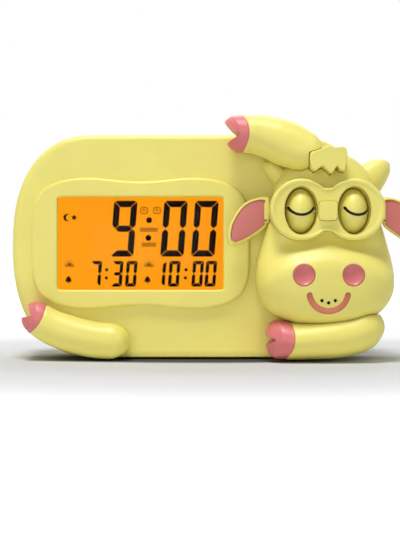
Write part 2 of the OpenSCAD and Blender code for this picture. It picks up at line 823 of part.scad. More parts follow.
ear_rows = [
    [23.4, 69.6, 5.8, ear_y, 2.4], [28.5, 69.8, 6.3, ear_y, 2.5], [32.9, 67, 7.4, ear_y, 2.5],
    [37.8, 61.9, 6.3, ear_y, 2.4], [41.5, 57, 4.2, ear_y, 2.1], [43.3, 53.4, 1.3, ear_y, 1.2]
];
lining_y = ear_y - 1;    // floor of the pocket that the lining sits in
lining_rise = 1.1;       // how far the lining's middle stands above that floor
lining_rows = [for (i = [0:4]) let (r = ear_rows[i])
    [r[0] + (i == 0 ? 3.2 : 0), r[1], r[2] - (i == 4 ? 2.4 : 1.5), lining_y, lining_rise]];
LINING_STEPS = 10;

// The two edges of the lining, as one closed outline in x and z
function lining_edge(i, side) =
    let (u = i * (len(lining_rows) - 1) / LINING_STEPS, c = spline(lining_rows, u),
         d = spline(lining_rows, u + 0.05) - spline(lining_rows, u - 0.05), l = norm([d[0], d[1]]))
    [c[0] - side * d[1] / l * c[2], c[1] + side * d[0] / l * c[2]];

function lining_outline() = concat([for (i = [0:LINING_STEPS]) lining_edge(i, 1)],
    [for (i = [LINING_STEPS:-1:0]) lining_edge(i, -1)]);

// Solid along rows, kept in front of y = back
module ear_loft(rows, steps, n, back) {
    loft([for (i = [0:steps]) limb_ring(rows, i * (len(rows) - 1) / steps, n, 0,
        function (p) [p[0], min(back, p[1]), p[2]])], true);
}

module ear(side) {
    color(YELLOW) place_head() difference() {
        union() {
            mirror([side > 0 ? 0 : 1, 0, 0]) difference() {
                ear_loft(ear_rows, 14, 20, 0);
                box([0, -30, 40], [ear_root_x + 1.5, 0, 90]);
            }
            ear_tab(side, 0);
        }
        mirror([side > 0 ? 0 : 1, 0, 0]) translate([0, lining_y, 0]) rotate([90, 0, 0]) {
            linear_extrude(height = 10) offset(delta = fit) polygon(lining_outline());
        }
    }
}

module ear_left() {
    ear(-1);
}

module ear_right() {
    ear(1);
}

module ear_lining(side) {
    color(PINK) place_head() mirror([side > 0 ? 0 : 1, 0, 0]) {
        ear_loft(lining_rows, LINING_STEPS, 16, lining_y);
    }
}

module ear_lining_left() {
    ear_lining(-1);
}

module ear_lining_right() {
    ear_lining(1);
}

horn_rows = [
    [17.6, 80.4, 7.6, -4.5, 6], [21.6, 85.2, 6.6, -4.5, 5.6], [25.6, 89.4, 4.4, -4.3, 4.2],
    [28.6, 92.2, 2.4, -4.1, 2.4], [30, 93.6, 0.6, -4, 0.6]
];

HORN_POINTS = 20;

function shrunk_rows(rows, by) = [for (r = rows) [r[0], r[1], r[2] * by, r[3], r[4] * by]];

// Keeps a point of the horn's foot out of the skull, and in front of the body
on_skull = function (p)
    let (d = [p[0], p[2] - skull_z], k = max(1, (skull_r + slip) / norm(d)))
    [d[0] * k, min(0, p[1]), skull_z + d[1] * k];

module horn(side) {
    color(YELLOW) place_head() {
        mirror([side > 0 ? 0 : 1, 0, 0]) loft(concat(
            [for (k = [0.05, 0.5]) limb_ring(shrunk_rows(horn_rows, k), 0, HORN_POINTS, 0, on_skull)],
            [for (i = [0:8]) limb_ring(horn_rows, i / 2, HORN_POINTS, 0, on_skull)]), true);
        at_horn(side) translate([0, 0, skull_r - 5]) cylinder(r = 2, h = 8, $fn = 32);
    }
}

module horn_left() {
    horn(-1);
}

module horn_right() {
    horn(1);
}

tuft_board_y = -5.2;
tuft_board_z = 88;

module tuft_button() {
    color(YELLOW) place_head() {
        loft([for (q = [[0.8, 0], [0.25, 0.25], [0, 0.8], [0, tuft_front - tuft_back]])
            [for (p = grown(tuft_points, tuft_mid, -q[0])) [p[0], -tuft_front + q[1], p[1]]]], true);
        box([-9, -tuft_back - 0.1, 86.2], [9, -tuft_back + flange_t, 88.2]);
        translate([0, 0, tuft_board_z]) bar(2, -tuft_back, tuft_board_y - 3.2 - tuft_travel);
    }
}

module tuft_switch() {
    color(DARK) place_head() translate([0, 0, tuft_board_z]) {
        panel(6, 6, tuft_board_y - 2.2, tuft_board_y);
        bar(1.5, tuft_board_y - 3, tuft_board_y - 2.2);
    }
}

module tuft_board() {
    color(GREEN) place_head() translate([0, 0, tuft_board_z]) panel(15, 8, tuft_board_y, tuft_board_y + 1.2);
}

// ---------------------------------------------------------------- limbs

LIMB_POINTS = 22;

// A limb's rows hold x and z from its own root, and start at the tip of its hoof. The roots are
// the head's middle at the body's top, the head's middle on the ground, and the body's left end,
// each with the rise of the limb's other end that keeps it on the head.
arm_root = [head_dx, body_top, head_dz - (body_top - head_level)];
fore_root = [head_dx, 0, 0];
hind_root = [-body_l / 2, 0, 0];
arm_rows = [
    [-46.5, -0.8, 5.4, -9.5, 5.2], [-44.5, -1, 7.6, -9.6, 8.2], [-41, -1.2, 8.5, -9.8, 9.6],
    [-32.2, -1.1, 9.2, -10, 10], [-24.3, -3.1, 10, -11, 10.5], [-18.3, -5.6, 10.5, -12.4, 10],
    [-12, -8, 10, -13.8, 9.4], [-7.1, -8.8, 8, -14.6, 8], [-2.5, -9, 4.6, -14.6, 4.8]
];
fore_rows = [
    [-28.3, 10.6, 6, -12.4, 8], [-26.3, 10.6, 8.2, -12.6, 11], [-21.9, 10.4, 9, -12.8, 13],
    [-15.6, 10, 8.9, -12.8, 13.5], [-7.8, 10.4, 9.2, -12.8, 13.5], [4.4, 11.6, 9.9, -12.6, 13.3],
    [13.5, 13.6, 9.8, -12.2, 12.8], [19.7, 17, 8, -11.6, 11.6], [22.9, 20.2, 4.6, -11, 8]
];
hind_rows = [
    [7.2, 21.9, 5.6, -5.6, 4.8], [8.8, 20.8, 7.2, -6, 6.6], [11.8, 19.2, 7.9, -6.3, 7.4],
    [20.4, 15, 8.2, -6.5, 7.6], [29.7, 12, 8.4, -6.6, 7.8], [38.6, 9.9, 8.4, -6.6, 7.8],
    [44.5, 9.2, 7.9, -6.4, 7.4], [49.2, 9, 5.8, -5.8, 6], [51.8, 9, 3, -5, 3.6]
];
hoof_rows = [2.6, 2.85, 2.25];    // where each limb turns into its hoof: arm, fore leg, hind leg
hoof_bow = 1.2;

function on_body(p) = [p[0], min(0, p[1]), p[2]];

function over_head(p) =
    let (x = p[0] - head_dx, z = p[2] - head_dz,
         d = z > head_mid + 20 ? skull_front(0.95 * x, head_mid + 0.95 * (z - head_mid)) + 0.5 : 0)
    [p[0], min(skull_reach(x, z) > 1.1 ? 0 : -d, p[1]), p[2]];

function skull_reach(x, z) = norm([x, z - skull_z]) / skull_r;

function under_chin(p) =
    let (x = p[0] - head_dx, top = chin(x, -p[1]) + head_dz - 0.8)
    [p[0], min(0, p[1]), abs(x) < muzzle_w - 0.5 ? min(p[2], top) : p[2]];

// The rows in their place: the hoof's end follows the root, and the other end rises by lift more
function moved(rows, root, lift) = [for (i = [0:len(rows) - 1])
    let (r = rows[i])
    [r[0] + root[0], r[1] + root[1] + lift * i / (len(rows) - 1), r[2], r[3], r[4]]];

function limb_rings(rows, root, from, to, steps, seat) = [for (i = [0:steps])
    let (u = from + (to - from) * i / steps, bow = hoof_bow * smooth(u) * smooth(len(rows) - 1 - u))
    limb_ring(moved(rows, root, root[2]), u, LIMB_POINTS, bow, seat)];

arm_peg = [arm_root[0] - 35.1, arm_root[1] - 7];
fore_pegs = [[fore_root[0] - 11.1, 11], [fore_root[0] + 1.9, 11]];
hind_pegs = [[hind_root[0] + 26, 13], [hind_root[0] + 39, 11]];

module at_limb_pegs() {
    for (p = concat([arm_peg], fore_pegs, hind_pegs)) translate([p[0], 0, p[1]]) children();
}

module limb_pegs(pegs) {
    for (p = pegs) translate([p[0], 0, p[1]]) bar(peg_r, -fit, peg_l);
}

toe_spread = 24;         // half of the angle between the two toes of a hoof
toe_reach = 20;

// Wedge between the two toes of a hoof, with its point at tip and opening along angle
module toe_notch(tip, angle) {
    slab([tip + 0.4 * [cos(angle - 90), sin(angle - 90)], tip + 0.4 * [cos(angle + 90), sin(angle + 90)],
          tip + toe_reach * [cos(angle + toe_spread), sin(angle + toe_spread)],
          tip + toe_reach * [cos(angle - toe_spread), sin(angle - toe_spread)]], -40, 1);
}

module arm() {
    color(YELLOW) place() {
        difference() {
            loft(limb_rings(arm_rows, arm_root, hoof_rows[0], 8, 14, function (p) over_head(p)), true);
            at_head() tuft_opening(slip + fit);
        }
        limb_pegs([arm_peg]);
    }
}

module arm_hoof() {
    color(PINK) place() difference() {
        loft(limb_rings(arm_rows, arm_root, 0, hoof_rows[0], 5, function (p) on_body(p)), true);
        toe_notch([arm_root[0] - 40.5, arm_root[1] - 1.1], 152);
    }
}

module fore_leg() {
    color(YELLOW) place() {
        loft(limb_rings(fore_rows, fore_root, hoof_rows[1], 8, 14, function (p) under_chin(p)), true);
        limb_pegs(fore_pegs);
    }
}

module fore_hoof() {
    color(PINK) place() difference() {
        loft(limb_rings(fore_rows, fore_root, 0, hoof_rows[1], 5, function (p) under_chin(p)), true);
        toe_notch([fore_root[0] - 23.9, 10], 188);
    }
}

module hind_leg() {
    color(YELLOW) place() {
        loft(limb_rings(hind_rows, hind_root, hoof_rows[2], 8, 14, function (p) on_body(p)), true);
        limb_pegs(hind_pegs);
    }
}

module hind_hoof() {
    color(PINK) place() difference() {
        loft(limb_rings(hind_rows, hind_root, 0, hoof_rows[2], 5, function (p) on_body(p)), true);
        toe_notch([hind_root[0] + 10.8, 20.6], 166);
    }
}

// ---------------------------------------------------------------- controls and power at the back

module rear_button(i) {
    p = button_places()[i - 1];
    flange_y = body_d - wall - rest_gap;
    color(WHITE) place() translate([p[0], 0, p[1]]) {
        bar(button_r, flange_y - 0.5, body_d + button_proud);
        bar(cap_flange_r, flange_y - 1.2, flange_y);
    }
}

module button_1() {
    rear_button(1);
}

module button_2() {
    rear_button(2);
}

module button_3() {
    rear_button(3);
}

module button_4() {
    rear_button(4);
}

module button_5() {
    rear_button(5);
}

module button_6() {
    rear_button(6);
}

module button_board() {
    color(GREEN) place() difference() {
        translate([button_x, 0, key_board_z]) {
            panel(key_board_w, key_board_h, key_board_y, key_board_y + board_t);
        }
        at_key_posts() bar(1.2, key_board_y - 1, key_board_y + board_t + 1);
    }
}

module button_switches() {
    cap_front = body_d - wall - rest_gap - 1.2;
    color(DARK) place() for (p = button_places()) translate([p[0], 0, p[1]]) {
        panel(6, 6, key_board_y + board_t, cap_front - button_travel - 0.9);
        bar(1.7, cap_front - button_travel - 0.9, cap_front - button_travel - 0.1);
    }
}

module button_board_screws() {
    color(STEEL) place() at_key_posts() {
        bar(0.9, key_board_y, key_board_y + board_t + 4);
        bar(2.1, key_board_y - 1.3, key_board_y);
    }
}

module slide_switch() {
    color(STEEL) place() translate([button_x + switch_travel / 2, 0, switch_z]) {
        panel(12, 6, key_board_y + board_t, body_d - wall - rest_gap - 1.5);
    }
}

module switch_knob() {
    flange_y = body_d - wall - rest_gap;
    color(DARK) place() translate([button_x, 0, switch_z]) {
        panel(knob_w, knob_h, flange_y - 0.5, body_d + 0.8);
        panel(knob_w + 2 * switch_travel, knob_h + 3, flange_y - 1.2, flange_y);
    }
}

rim_y = body_d - wall;

module battery_box() {
    color(YELLOW) place() translate([box_x, 0, box_z]) difference() {
        union() {
            panel(box_w + 2 * box_wall, box_h + 2 * box_wall, rim_y - box_depth - box_wall, rim_y);
            panel(box_w + 2 * rim, box_h + 2 * rim, rim_y - 2, rim_y);
        }
        panel(box_w, box_h, rim_y - box_depth, rim_y + 1);
    }
}

module battery_door() {
    w = box_w + 2 * door_rest;
    h = box_h + 2 * door_rest;
    color(YELLOW) place() translate([box_x, 0, box_z]) difference() {
        panel(w, h, body_d - door_t, body_d);
        for (side = [-1, 1]) {
            box([side * 8 - 0.6, body_d - door_t - 1, h / 2 - 12], [side * 8 + 0.6, body_d + 1, h / 2 + 1]);
        }
        box([-5, body_d - 0.8, h / 2 - 8], [5, body_d + 1, h / 2 - 5]);
    }
}

function cell_places() = [for (i = [-1:1]) i * (cell_d + 0.5)];

cell_y = rim_y - box_depth + cell_d / 2 + 0.2;

module batteries() {
    color(STEEL) place() for (z = cell_places()) translate([box_x - cell_l / 2, cell_y, box_z + z]) {
        shaft(cell_d / 2, 0, cell_l - 1);
        shaft(2.75, cell_l - 1.5, cell_l);
    }
}

module battery_contacts() {
    color(STEEL) place() for (z = cell_places()) translate([box_x, cell_y, box_z + z]) {
        translate([box_w / 2, 0, 0]) box([-0.5, -5, -5], [0, 5, 5]);
        translate([-box_w / 2, 0, 0]) box([0, -5, -5], [0.5, 5, 5]);
        for (i = [0:1]) {
            translate([-box_w / 2, 0, 0]) shaft(4 - 1.5 * i, 0.4, box_w / 2 - cell_l / 2 - 0.7 + 0.5 * i);
        }
    }
}

body_front();
body_rear();
case_screws();
feet();
display_surround();
display_lens();
lcd_panel();
backlight_guide();
backlight_leds();
lcd_contacts();
main_board();
main_board_screws();
clock_chip();
head_shell();
head_back();
head_screws();
goggles();
bridge_pad();
eye_left();
eye_right();
eye_axle();
axle_gear();
idler_gear();
motor_pinion();
eye_motor();
eye_frame();
speaker();
nostril_left();
nostril_right();
smile();
ear_left();
ear_right();
ear_lining_left();
ear_lining_right();
horn_left();
horn_right();
tuft_button();
tuft_switch();
tuft_board();
arm();
arm_hoof();
fore_leg();
fore_hoof();
hind_leg();
hind_hoof();
button_1();
button_2();
button_3();
button_4();
button_5();
button_6();
button_board();
button_switches();
button_board_screws();
switch_knob();
slide_switch();
battery_box();
battery_door();
batteries();
battery_contacts();
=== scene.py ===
"""A children's alarm clock: a long rounded body with an amber display on the left, and an
animal's head resting on its fore leg on the right.

Every shell is a surface worked out with numpy from a few sizes, in millimetres, in the clock's
own frame: x from the body's middle to the right, y from the body's flat front towards the back,
z up from the ground. place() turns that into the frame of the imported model, in metres.
"""

import functools
import math

import bpy
import numpy as np
from bpy.props import FloatProperty, FloatVectorProperty, PointerProperty
from bpy.types import Operator, Panel, PropertyGroup
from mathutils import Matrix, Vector


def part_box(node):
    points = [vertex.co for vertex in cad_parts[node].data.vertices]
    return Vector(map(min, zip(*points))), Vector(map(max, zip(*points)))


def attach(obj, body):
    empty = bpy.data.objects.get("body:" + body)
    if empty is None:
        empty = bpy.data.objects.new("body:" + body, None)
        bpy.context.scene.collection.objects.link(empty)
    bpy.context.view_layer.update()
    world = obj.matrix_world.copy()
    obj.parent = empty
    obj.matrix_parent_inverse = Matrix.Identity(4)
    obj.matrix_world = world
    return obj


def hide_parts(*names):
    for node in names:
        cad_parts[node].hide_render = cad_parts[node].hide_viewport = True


bl_info = {
    "name": "Resting Animal Alarm Clock",
    "version": (1, 0, 0),
    "blender": (4, 5, 0),
    "location": "3D View > Sidebar > Alarm Clock",
    "description": "Builds the shells, face, display and finishes of a children's alarm clock",
    "category": "Add Mesh",
}

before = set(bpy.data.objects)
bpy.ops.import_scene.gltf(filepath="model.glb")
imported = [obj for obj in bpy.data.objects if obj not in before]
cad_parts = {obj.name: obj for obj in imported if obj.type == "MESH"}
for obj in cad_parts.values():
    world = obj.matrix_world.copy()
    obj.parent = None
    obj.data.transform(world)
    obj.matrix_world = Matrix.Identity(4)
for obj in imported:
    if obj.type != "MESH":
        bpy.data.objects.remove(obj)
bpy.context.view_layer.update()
MM = 0.001


# ---------------------------------------------------------------- sizes and colours

def length(name, default, description):
    """A size in metres."""
    return FloatProperty(name=name, default=default, description=description, unit="LENGTH", min=0)


def colour(name, default, description):
    """A colour, written as it should look on the screen."""
    return FloatVectorProperty(name=name, default=default, description=description,
                               subtype="COLOR_GAMMA", size=3, min=0, max=1)


class BodySizes(PropertyGroup):
    """The two shells of the body."""
    length: length("Length", 0.170, "Length of the body without the head")
    height: length("Height", 0.105, "Height of the body shells")
    depth: length("Depth", 0.046, "Depth of the body shells")
    end: length("End", 0.040, "Length of each rounded end")
    seam: length("Seam", 0.014, "Distance from the front to the seam")
    wall: length("Wall", 0.0022, "Wall thickness of the mouldings")
    edge: length("Edge", 0.003, "Radius of the rounded edges")
    feet: length("Feet", 0.001, "Thickness of the rubber feet")


class DisplaySizes(PropertyGroup):
    """The display and its wavy surround."""
    window_w: length("Window width", 0.0777, "Width of the display window")
    window_h: length("Window height", 0.0436, "Height of the display window")
    left: length("Offset", 0.0245, "Distance of the window's middle from the body's middle")
    raised: length("Raised", 0.0011, "Height of the window's middle above the body's middle")
    surround_w: length("Surround width", 0.1023, "Width of the wavy surround")
    surround_h: length("Surround height", 0.0628, "Height of the wavy surround")
    proud: length("Proud", 0.0025, "How far the surround stands in front of the body")
    dip: length("Dip", 0.0023, "Depth of the dips of the long edges")
    digit: length("Digit height", 0.0262, "Height of the large digits")
    small_digit: length("Small digit height", 0.0120, "Height of the small digits")


class HeadSizes(PropertyGroup):
    """The head, its face and what is fixed to it."""
    right: length("Offset", 0.0611, "Distance of the head's middle from the body's middle")
    skull_z: length("Skull height", 0.074, "Height of the middle of the skull")
    skull_r: length("Skull radius", 0.0241, "Radius of the skull")
    muzzle_z: length("Muzzle height", 0.037, "Height of the muzzle's widest point")
    muzzle_w: length("Muzzle half-width", 0.0318, "Half of the muzzle's width")
    face: length("Face", 0.018, "Depth of the face in front of the body")
    muzzle: length("Muzzle", 0.0095, "How far the muzzle stands in front of the face")
    nostril: length("Nostril", 0.005, "Radius of the nostril inlays")
    smile_r: length("Smile radius", 0.0087, "Radius of the smile's middle line")
    smile_w: length("Smile width", 0.0025, "Width of the smile's groove")


class EyeSizes(PropertyGroup):
    """The goggles and the eyeballs in them."""
    gap: length("Gap", 0.024, "Distance between the middles of the eyes")
    height: length("Height", 0.0691, "Height of the eyes' axle")
    radius: length("Radius", 0.01035, "Radius of an eyeball, square to its axle")
    half_w: length("Half-width", 0.007, "Half of an eyeball's width")
    proud: length("Proud", 0.0015, "How far the eyeballs stand in front of the goggles")
    hole: length("Hole gap", 0.00055, "Gap between an eyeball and its hole")
    front: length("Front", 0.024, "Front of the goggles, in front of the body")
    lobe: length("Lobe", 0.014, "Radius of each lobe of the goggles")


class Finishes(PropertyGroup):
    """The colours of the clock."""
    shell: colour("Shell", (0.896, 0.852, 0.436), "Pale yellow of the mouldings")
    pink: colour("Pink", (0.820, 0.440, 0.440), "Pink of the hooves and the nostrils")
    ear: colour("Ear lining", (0.770, 0.430, 0.400), "Dusty pink of the ear linings")
    lcd: colour("Display", (0.996, 0.600, 0.010), "Lit amber of the display")
    segment: colour("Segments", (0.075, 0.005, 0.002), "Dark segments of the display")
    button: colour("Buttons", (0.930, 0.920, 0.860), "Off-white of the rear buttons")
    smile: colour("Smile", (0.900, 0.530, 0.465), "Warm pink of the smile")


GROUPS = {"clock_body": BodySizes, "clock_display": DisplaySizes, "clock_head": HeadSizes,
          "clock_eyes": EyeSizes, "clock_finish": Finishes}


class Sizes:
    """The sizes of one group as plain numbers in millimetres."""

    def __init__(self, group):
        values = getattr(bpy.context.scene, group)
        for key in type(values).__annotations__:
            setattr(self, key, getattr(values, key) / MM)


def finish(name):
    """The scene-linear colour of one finish, worked out from the colour on the screen."""
    v = np.array(getattr(bpy.context.scene.clock_finish, name)[:], float)
    linear = np.where(v <= 0.04045, v / 12.92, ((v + 0.055) / 1.055) ** 2.4)
    return (*linear, 1.0)


# ---------------------------------------------------------------- places

EAR_REACH = 44.8       # from the head's middle to the tip of an ear
BUTTON_PROUD = 1.0     # how far the rear buttons stand out


def origin():
    """Where the clock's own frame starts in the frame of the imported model, in mm: the middle
    between the body's left end and the right ear, and between the muzzle and the rear buttons."""
    body, head = Sizes("clock_body"), Sizes("clock_head")
    x = -(head.right + EAR_REACH - body.length / 2) / 2
    y = -(body.depth + BUTTON_PROUD - head.face - head.muzzle) / 2
    return np.array([x, y, 0.0])


def place(points):
    """Points in mm of the clock's own frame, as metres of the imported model's frame."""
    return (np.asarray(points, float) + origin()) * MM


# ---------------------------------------------------------------- meshes from arrays

def ring_faces(m, n):
    """Quads between m rings of n points each, every ring closed."""
    r, k = np.arange(m - 1)[:, None] * n, np.arange(n)[None, :]
    a, b = r + k, r + (k + 1) % n
    return np.stack([a, b, b + n, a + n], -1).reshape(-1, 4)


def outwards(points, faces):
    """The same faces, turned round where they enclose a negative volume: the sum over the fans
    of a . (b x c) is six times the volume that they enclose."""
    volume = 0.0
    for f in faces:
        for j in range(1, f.shape[1] - 1):
            a, b, c = points[f[:, 0]], points[f[:, j]], points[f[:, j + 1]]
            volume += np.einsum("ij,ij->", a, np.cross(b, c))
    return [f[:, ::-1] for f in faces] if volume < 0 else faces


def solid(rings):
    """Points and faces of a closed solid through rings (m, n, 3), with a fan over each end."""
    rings = np.asarray(rings, float)
    m, n = rings.shape[:2]
    points = np.concatenate([rings.reshape(-1, 3), rings[:1].mean(1), rings[-1:].mean(1)])
    k = np.arange(n)
    first = np.stack([np.full(n, m * n), (k + 1) % n, k], -1)
    last = np.stack([np.full(n, m * n + 1), (m - 1) * n + k, (m - 1) * n + (k + 1) % n], -1)
    return points, outwards(points, [ring_faces(m, n), first, last])


def capped(rings):
    """As solid(), with one flat face over each end, for outlines that turn in and out."""
    m, n = rings.shape[:2]
    k = np.arange(n)
    points = rings.reshape(-1, 3)
    return points, outwards(points, [ring_faces(m, n), k[None, ::-1], (m - 1) * n + k[None]])


def hoop(rings):
    """Points and faces of a closed solid through rings (m, n, 3), the last joined to the first."""
    rings = np.asarray(rings, float)
    m, n = rings.shape[:2]
    points = rings.reshape(-1, 3)
    return points, outwards(points, [ring_faces(m + 1, n) % (m * n)])


def at_depth(outline, y):
    """An outline (n, 2) in x and z as points at depth y."""
    outline = np.asarray(outline, float)
    return np.stack([outline[:, 0], np.full(len(outline), float(y)), outline[:, 1]], -1)


def prism(outline, y0, y1):
    """A solid of an outline (n, 2) in x and z, from y0 to y1."""
    return capped(np.stack([at_depth(outline, y0), at_depth(outline, y1)]))


def strip(a, b, y0, y1, closed=False):
    """A flat solid between two curves (n, 2) in x and z, from y0 to y1."""
    rings = np.stack([at_depth(a, y0), at_depth(b, y0), at_depth(b, y1), at_depth(a, y1)], 1)
    return hoop(rings) if closed else solid(rings)


def angles(steps, shift=0.0):
    """Angles at equal steps round one turn, the first of them shift steps past zero."""
    return 2 * np.pi * (np.arange(steps) + shift) / steps


def turned(profile, centre, axis="y", steps=64):
    """A solid of revolution. Its profile rows hold the radius and the distance along the axis."""
    profile = np.asarray(profile, float)
    t = angles(steps)
    r, d = profile[:, :1], profile[:, 1:]
    u, v, w = r * np.cos(t), r * np.sin(t), d + 0 * t
    parts = {"y": (u, w, v), "x": (w, u, v)}[axis]
    return solid(np.stack(parts, -1) + np.asarray(centre, float))


def oval(x, z, half_w, half_h, steps=96):
    """An outline: an ellipse round (x, z), x + a cos t and z + b sin t."""
    t = angles(steps)
    return np.stack([x + half_w * np.cos(t), z + half_h * np.sin(t)], -1)


def circle(x, z, r, steps=48):
    """An outline: points at equal angles round (x, z)."""
    return oval(x, z, r, r, steps)


def heading(degrees):
    """The step of length 1, in x and z, at an angle from x."""
    return np.array([math.cos(math.radians(degrees)), math.sin(math.radians(degrees))])


def arc(x, z, r, start, end, steps=24):
    """Points of an arc round (x, z), angles in degrees."""
    t = np.radians(np.linspace(start, end, steps))
    return np.stack([x + r * np.cos(t), z + r * np.sin(t)], -1)


def rounded(x, z, w, h, r, steps=8):
    """An outline: a rectangle w by h round (x, z), with corners of radius r."""
    t = np.linspace(0, np.pi / 2, steps)
    turn = np.repeat(np.arange(4), steps) * np.pi / 2
    a = np.tile(t, 4) + turn
    sx, sz = np.sign(np.cos(turn + np.pi / 4)), np.sign(np.sin(turn + np.pi / 4))
    return np.stack([x + sx * (w / 2 - r) + r * np.cos(a), z + sz * (h / 2 - r) + r * np.sin(a)], -1)


def rounding(across, deep, start, end, steps):
    """Pairs of inset and depth along a rounded edge, v going from start to end in degrees: the
    inset is across (1 - sin v) and the depth is deep (1 - cos v)."""
    v = np.radians(np.linspace(start, end, steps))
    return np.stack([across * (1 - np.sin(v)), deep * (1 - np.cos(v))], -1)


def shade(mesh, sharp):
    """Smooth shading, with edges sharper than the given angle kept crisp."""
    mesh.polygons.foreach_set("use_smooth", np.ones(len(mesh.polygons), bool))
    mesh.set_sharp_from_angle(angle=math.radians(sharp))


def add(name, data):
    """Puts a new object with this data into the scene."""
    obj = bpy.data.objects.new(name, data)
    bpy.context.scene.collection.objects.link(obj)
    return obj


def piece(name, *solids, sharp=45.0):
    """One object made of closed solids, given as points and faces in the clock's own frame."""
    points = place(np.concatenate([p for p, faces in solids]))
    shifts = np.cumsum([0] + [len(p) for p, faces in solids])
    faces = [f + shift for (p, group), shift in zip(solids, shifts) for f in group]
    mesh = bpy.data.meshes.new(name)
    mesh.vertices.add(len(points))
    mesh.vertices.foreach_set("co", points.astype(np.float32).ravel())
    corners = np.concatenate([f.ravel() for f in faces])
    sizes = np.concatenate([np.full(len(f), f.shape[1]) for f in faces])
    mesh.loops.add(len(corners))
    mesh.loops.foreach_set("vertex_index", corners.astype(np.int32))
    mesh.polygons.add(len(sizes))
    mesh.polygons.foreach_set("loop_start", (np.cumsum(sizes) - sizes).astype(np.int32))
    mesh.update(calc_edges=True)
    shade(mesh, sharp)
    return add(name, mesh)


def cut(obj, *cutters, sharp=40.0, join=False):
    """Takes the cutters' solids away from the object, or joins them to it, for good."""
    for i, shape in enumerate(cutters):
        tool = piece(f"tool_{i}", shape)
        m = obj.modifiers.new("cut", "BOOLEAN")
        m.object, m.solver = tool, "EXACT"
        m.operation = "UNION" if join else "DIFFERENCE"
        bpy.context.view_layer.update()
        graph = bpy.context.evaluated_depsgraph_get()
        result = bpy.data.meshes.new_from_object(obj.evaluated_get(graph))
        obj.modifiers.clear()
        obj.data = result
        bpy.data.objects.remove(tool)
    obj.data.name = obj.name
    shade(obj.data, sharp)
    return obj


def ease(t):
    """Goes smoothly from 0 to 1 as t does: t squared times (3 - 2 t)."""
    c = np.clip(t, 0, 1)
    return c * c * (3 - 2 * c)


def signed_power(v, p):
    """Keeps the sign of v and raises its size to p."""
    return np.sign(v) * np.abs(v) ** p


def blunt(u, power):
    """Falls from 1 at u = 0 to 0 at u = 1 as (1 - u^power)^(1 / power)."""
    return np.maximum(0, 1 - u ** power) ** (1 / power)


def box_curve(t, a, b, power):
    """The point at angle t of the curve |x / a|^power + |z / b|^power = 1, in x and z."""
    r = (np.abs(np.cos(t) / a) ** power + np.abs(np.sin(t) / b) ** power) ** (-1 / power)
    return r * np.cos(t), r * np.sin(t)


def spline(rows, u):
    """Catmull-Rom values at the array u of a list of rows, one row for each whole u."""
    rows = np.asarray(rows, float)
    i = np.clip(np.floor(u).astype(int), 0, len(rows) - 2)
    t = (u - i)[:, None]
    a, b = rows[np.maximum(i - 1, 0)], rows[i]
    c, d = rows[i + 1], rows[np.minimum(i + 2, len(rows) - 1)]
    return 0.5 * (2 * b + (c - a) * t + (2 * a - 5 * b + 4 * c - d) * t ** 2
                  + (3 * b - a - 3 * c + d) * t ** 3)


def dress(obj, material, body="case", replaces=()):
    """Gives a piece its material and slot, lets it ride on its body and stand for CAD nodes."""
    obj.data.materials.clear()
    obj.data.materials.append(material)
    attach(obj, body)
    if replaces:
        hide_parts(*replaces)
    return obj


# ---------------------------------------------------------------- finishes

def give(tree, node, inputs):
    """Gives each named input of a node its value: a number, a colour or another node's output."""
    for key, value in inputs.items():
        if isinstance(value, bpy.types.NodeSocket):
            tree.links.new(value, node.inputs[key])
        else:
            node.inputs[key].default_value = value


def wire(tree, kind, inputs, output, **settings):
    """One output of a new node, which gets its settings and its inputs."""
    node = tree.nodes.new(f"ShaderNode{kind}")
    for key, value in settings.items():
        setattr(node, key, value)
    give(tree, node, inputs)
    return node.outputs[output]


def once(build):
    """Makes a finish of a function that wires a node tree and gives its surface shader's inputs.
    The finish is called with a name first. It makes the material of that name, or finds it."""
    @functools.wraps(build)
    def find_or_build(name, *values, **settings):
        material = bpy.data.materials.get(name)
        if not material:
            material = bpy.data.materials.new(name)
            material.use_nodes = True
            tree = material.node_tree
            give(tree, tree.nodes["Principled BSDF"], build(tree, *values, **settings))
        return material
    return find_or_build


def own_place(tree):
    """The piece's own coordinates, in metres."""
    return wire(tree, "TexCoord", {}, "Object")


def noise(tree, scale, detail=3.0):
    """Noise in the piece's own coordinates, scale features to the metre."""
    inputs = {"Vector": own_place(tree), "Scale": scale, "Detail": detail}
    return wire(tree, "TexNoise", inputs, "Fac")


def spread(tree, value, low, high, start=0.3, end=0.7, curve="LINEAR"):
    """Maps start to end on to low to high. The middle of a noise goes from 0.3 to 0.7."""
    inputs = {"Value": value, "From Min": start, "From Max": end, "To Min": low, "To Max": high}
    return wire(tree, "MapRange", inputs, "Result", interpolation_type=curve)


def ramp(tree, value, stops, curve="LINEAR"):
    """A colour that runs through the stops, each a position and a colour."""
    colour_out = wire(tree, "ValToRGB", {"Fac": value}, "Color")
    scale = colour_out.node.color_ramp
    scale.interpolation = curve
    for element, (position, tone) in zip(tuple(scale.elements), (stops[0], stops[-1])):
        element.position, element.color = position, tone
    for position, tone in stops[1:-1]:
        scale.elements.new(position).color = tone
    return colour_out


def tinted(linear, factor):
    """A colour with its light scaled."""
    return (*[min(1.0, c * factor) for c in linear[:3]], 1.0)


def drift(tree, linear, mottle, scale, detail=3.0):
    """A colour that drifts a little lighter and darker, scale features to the metre."""
    return ramp(tree, noise(tree, scale, detail),
                ((0.3, tinted(linear, 1 - mottle)), (0.7, tinted(linear, 1 + mottle))))


def varied(tree, scale, low, high):
    """A value that varies between low and high, scale features to the metre."""
    return spread(tree, noise(tree, scale), low, high)


def grain(tree, scale, depth):
    """A fine relief of the given depth in metres, scale features to the metre."""
    inputs = {"Strength": 1.0, "Distance": depth, "Height": noise(tree, scale, 2.0)}
    return wire(tree, "Bump", inputs, "Normal")


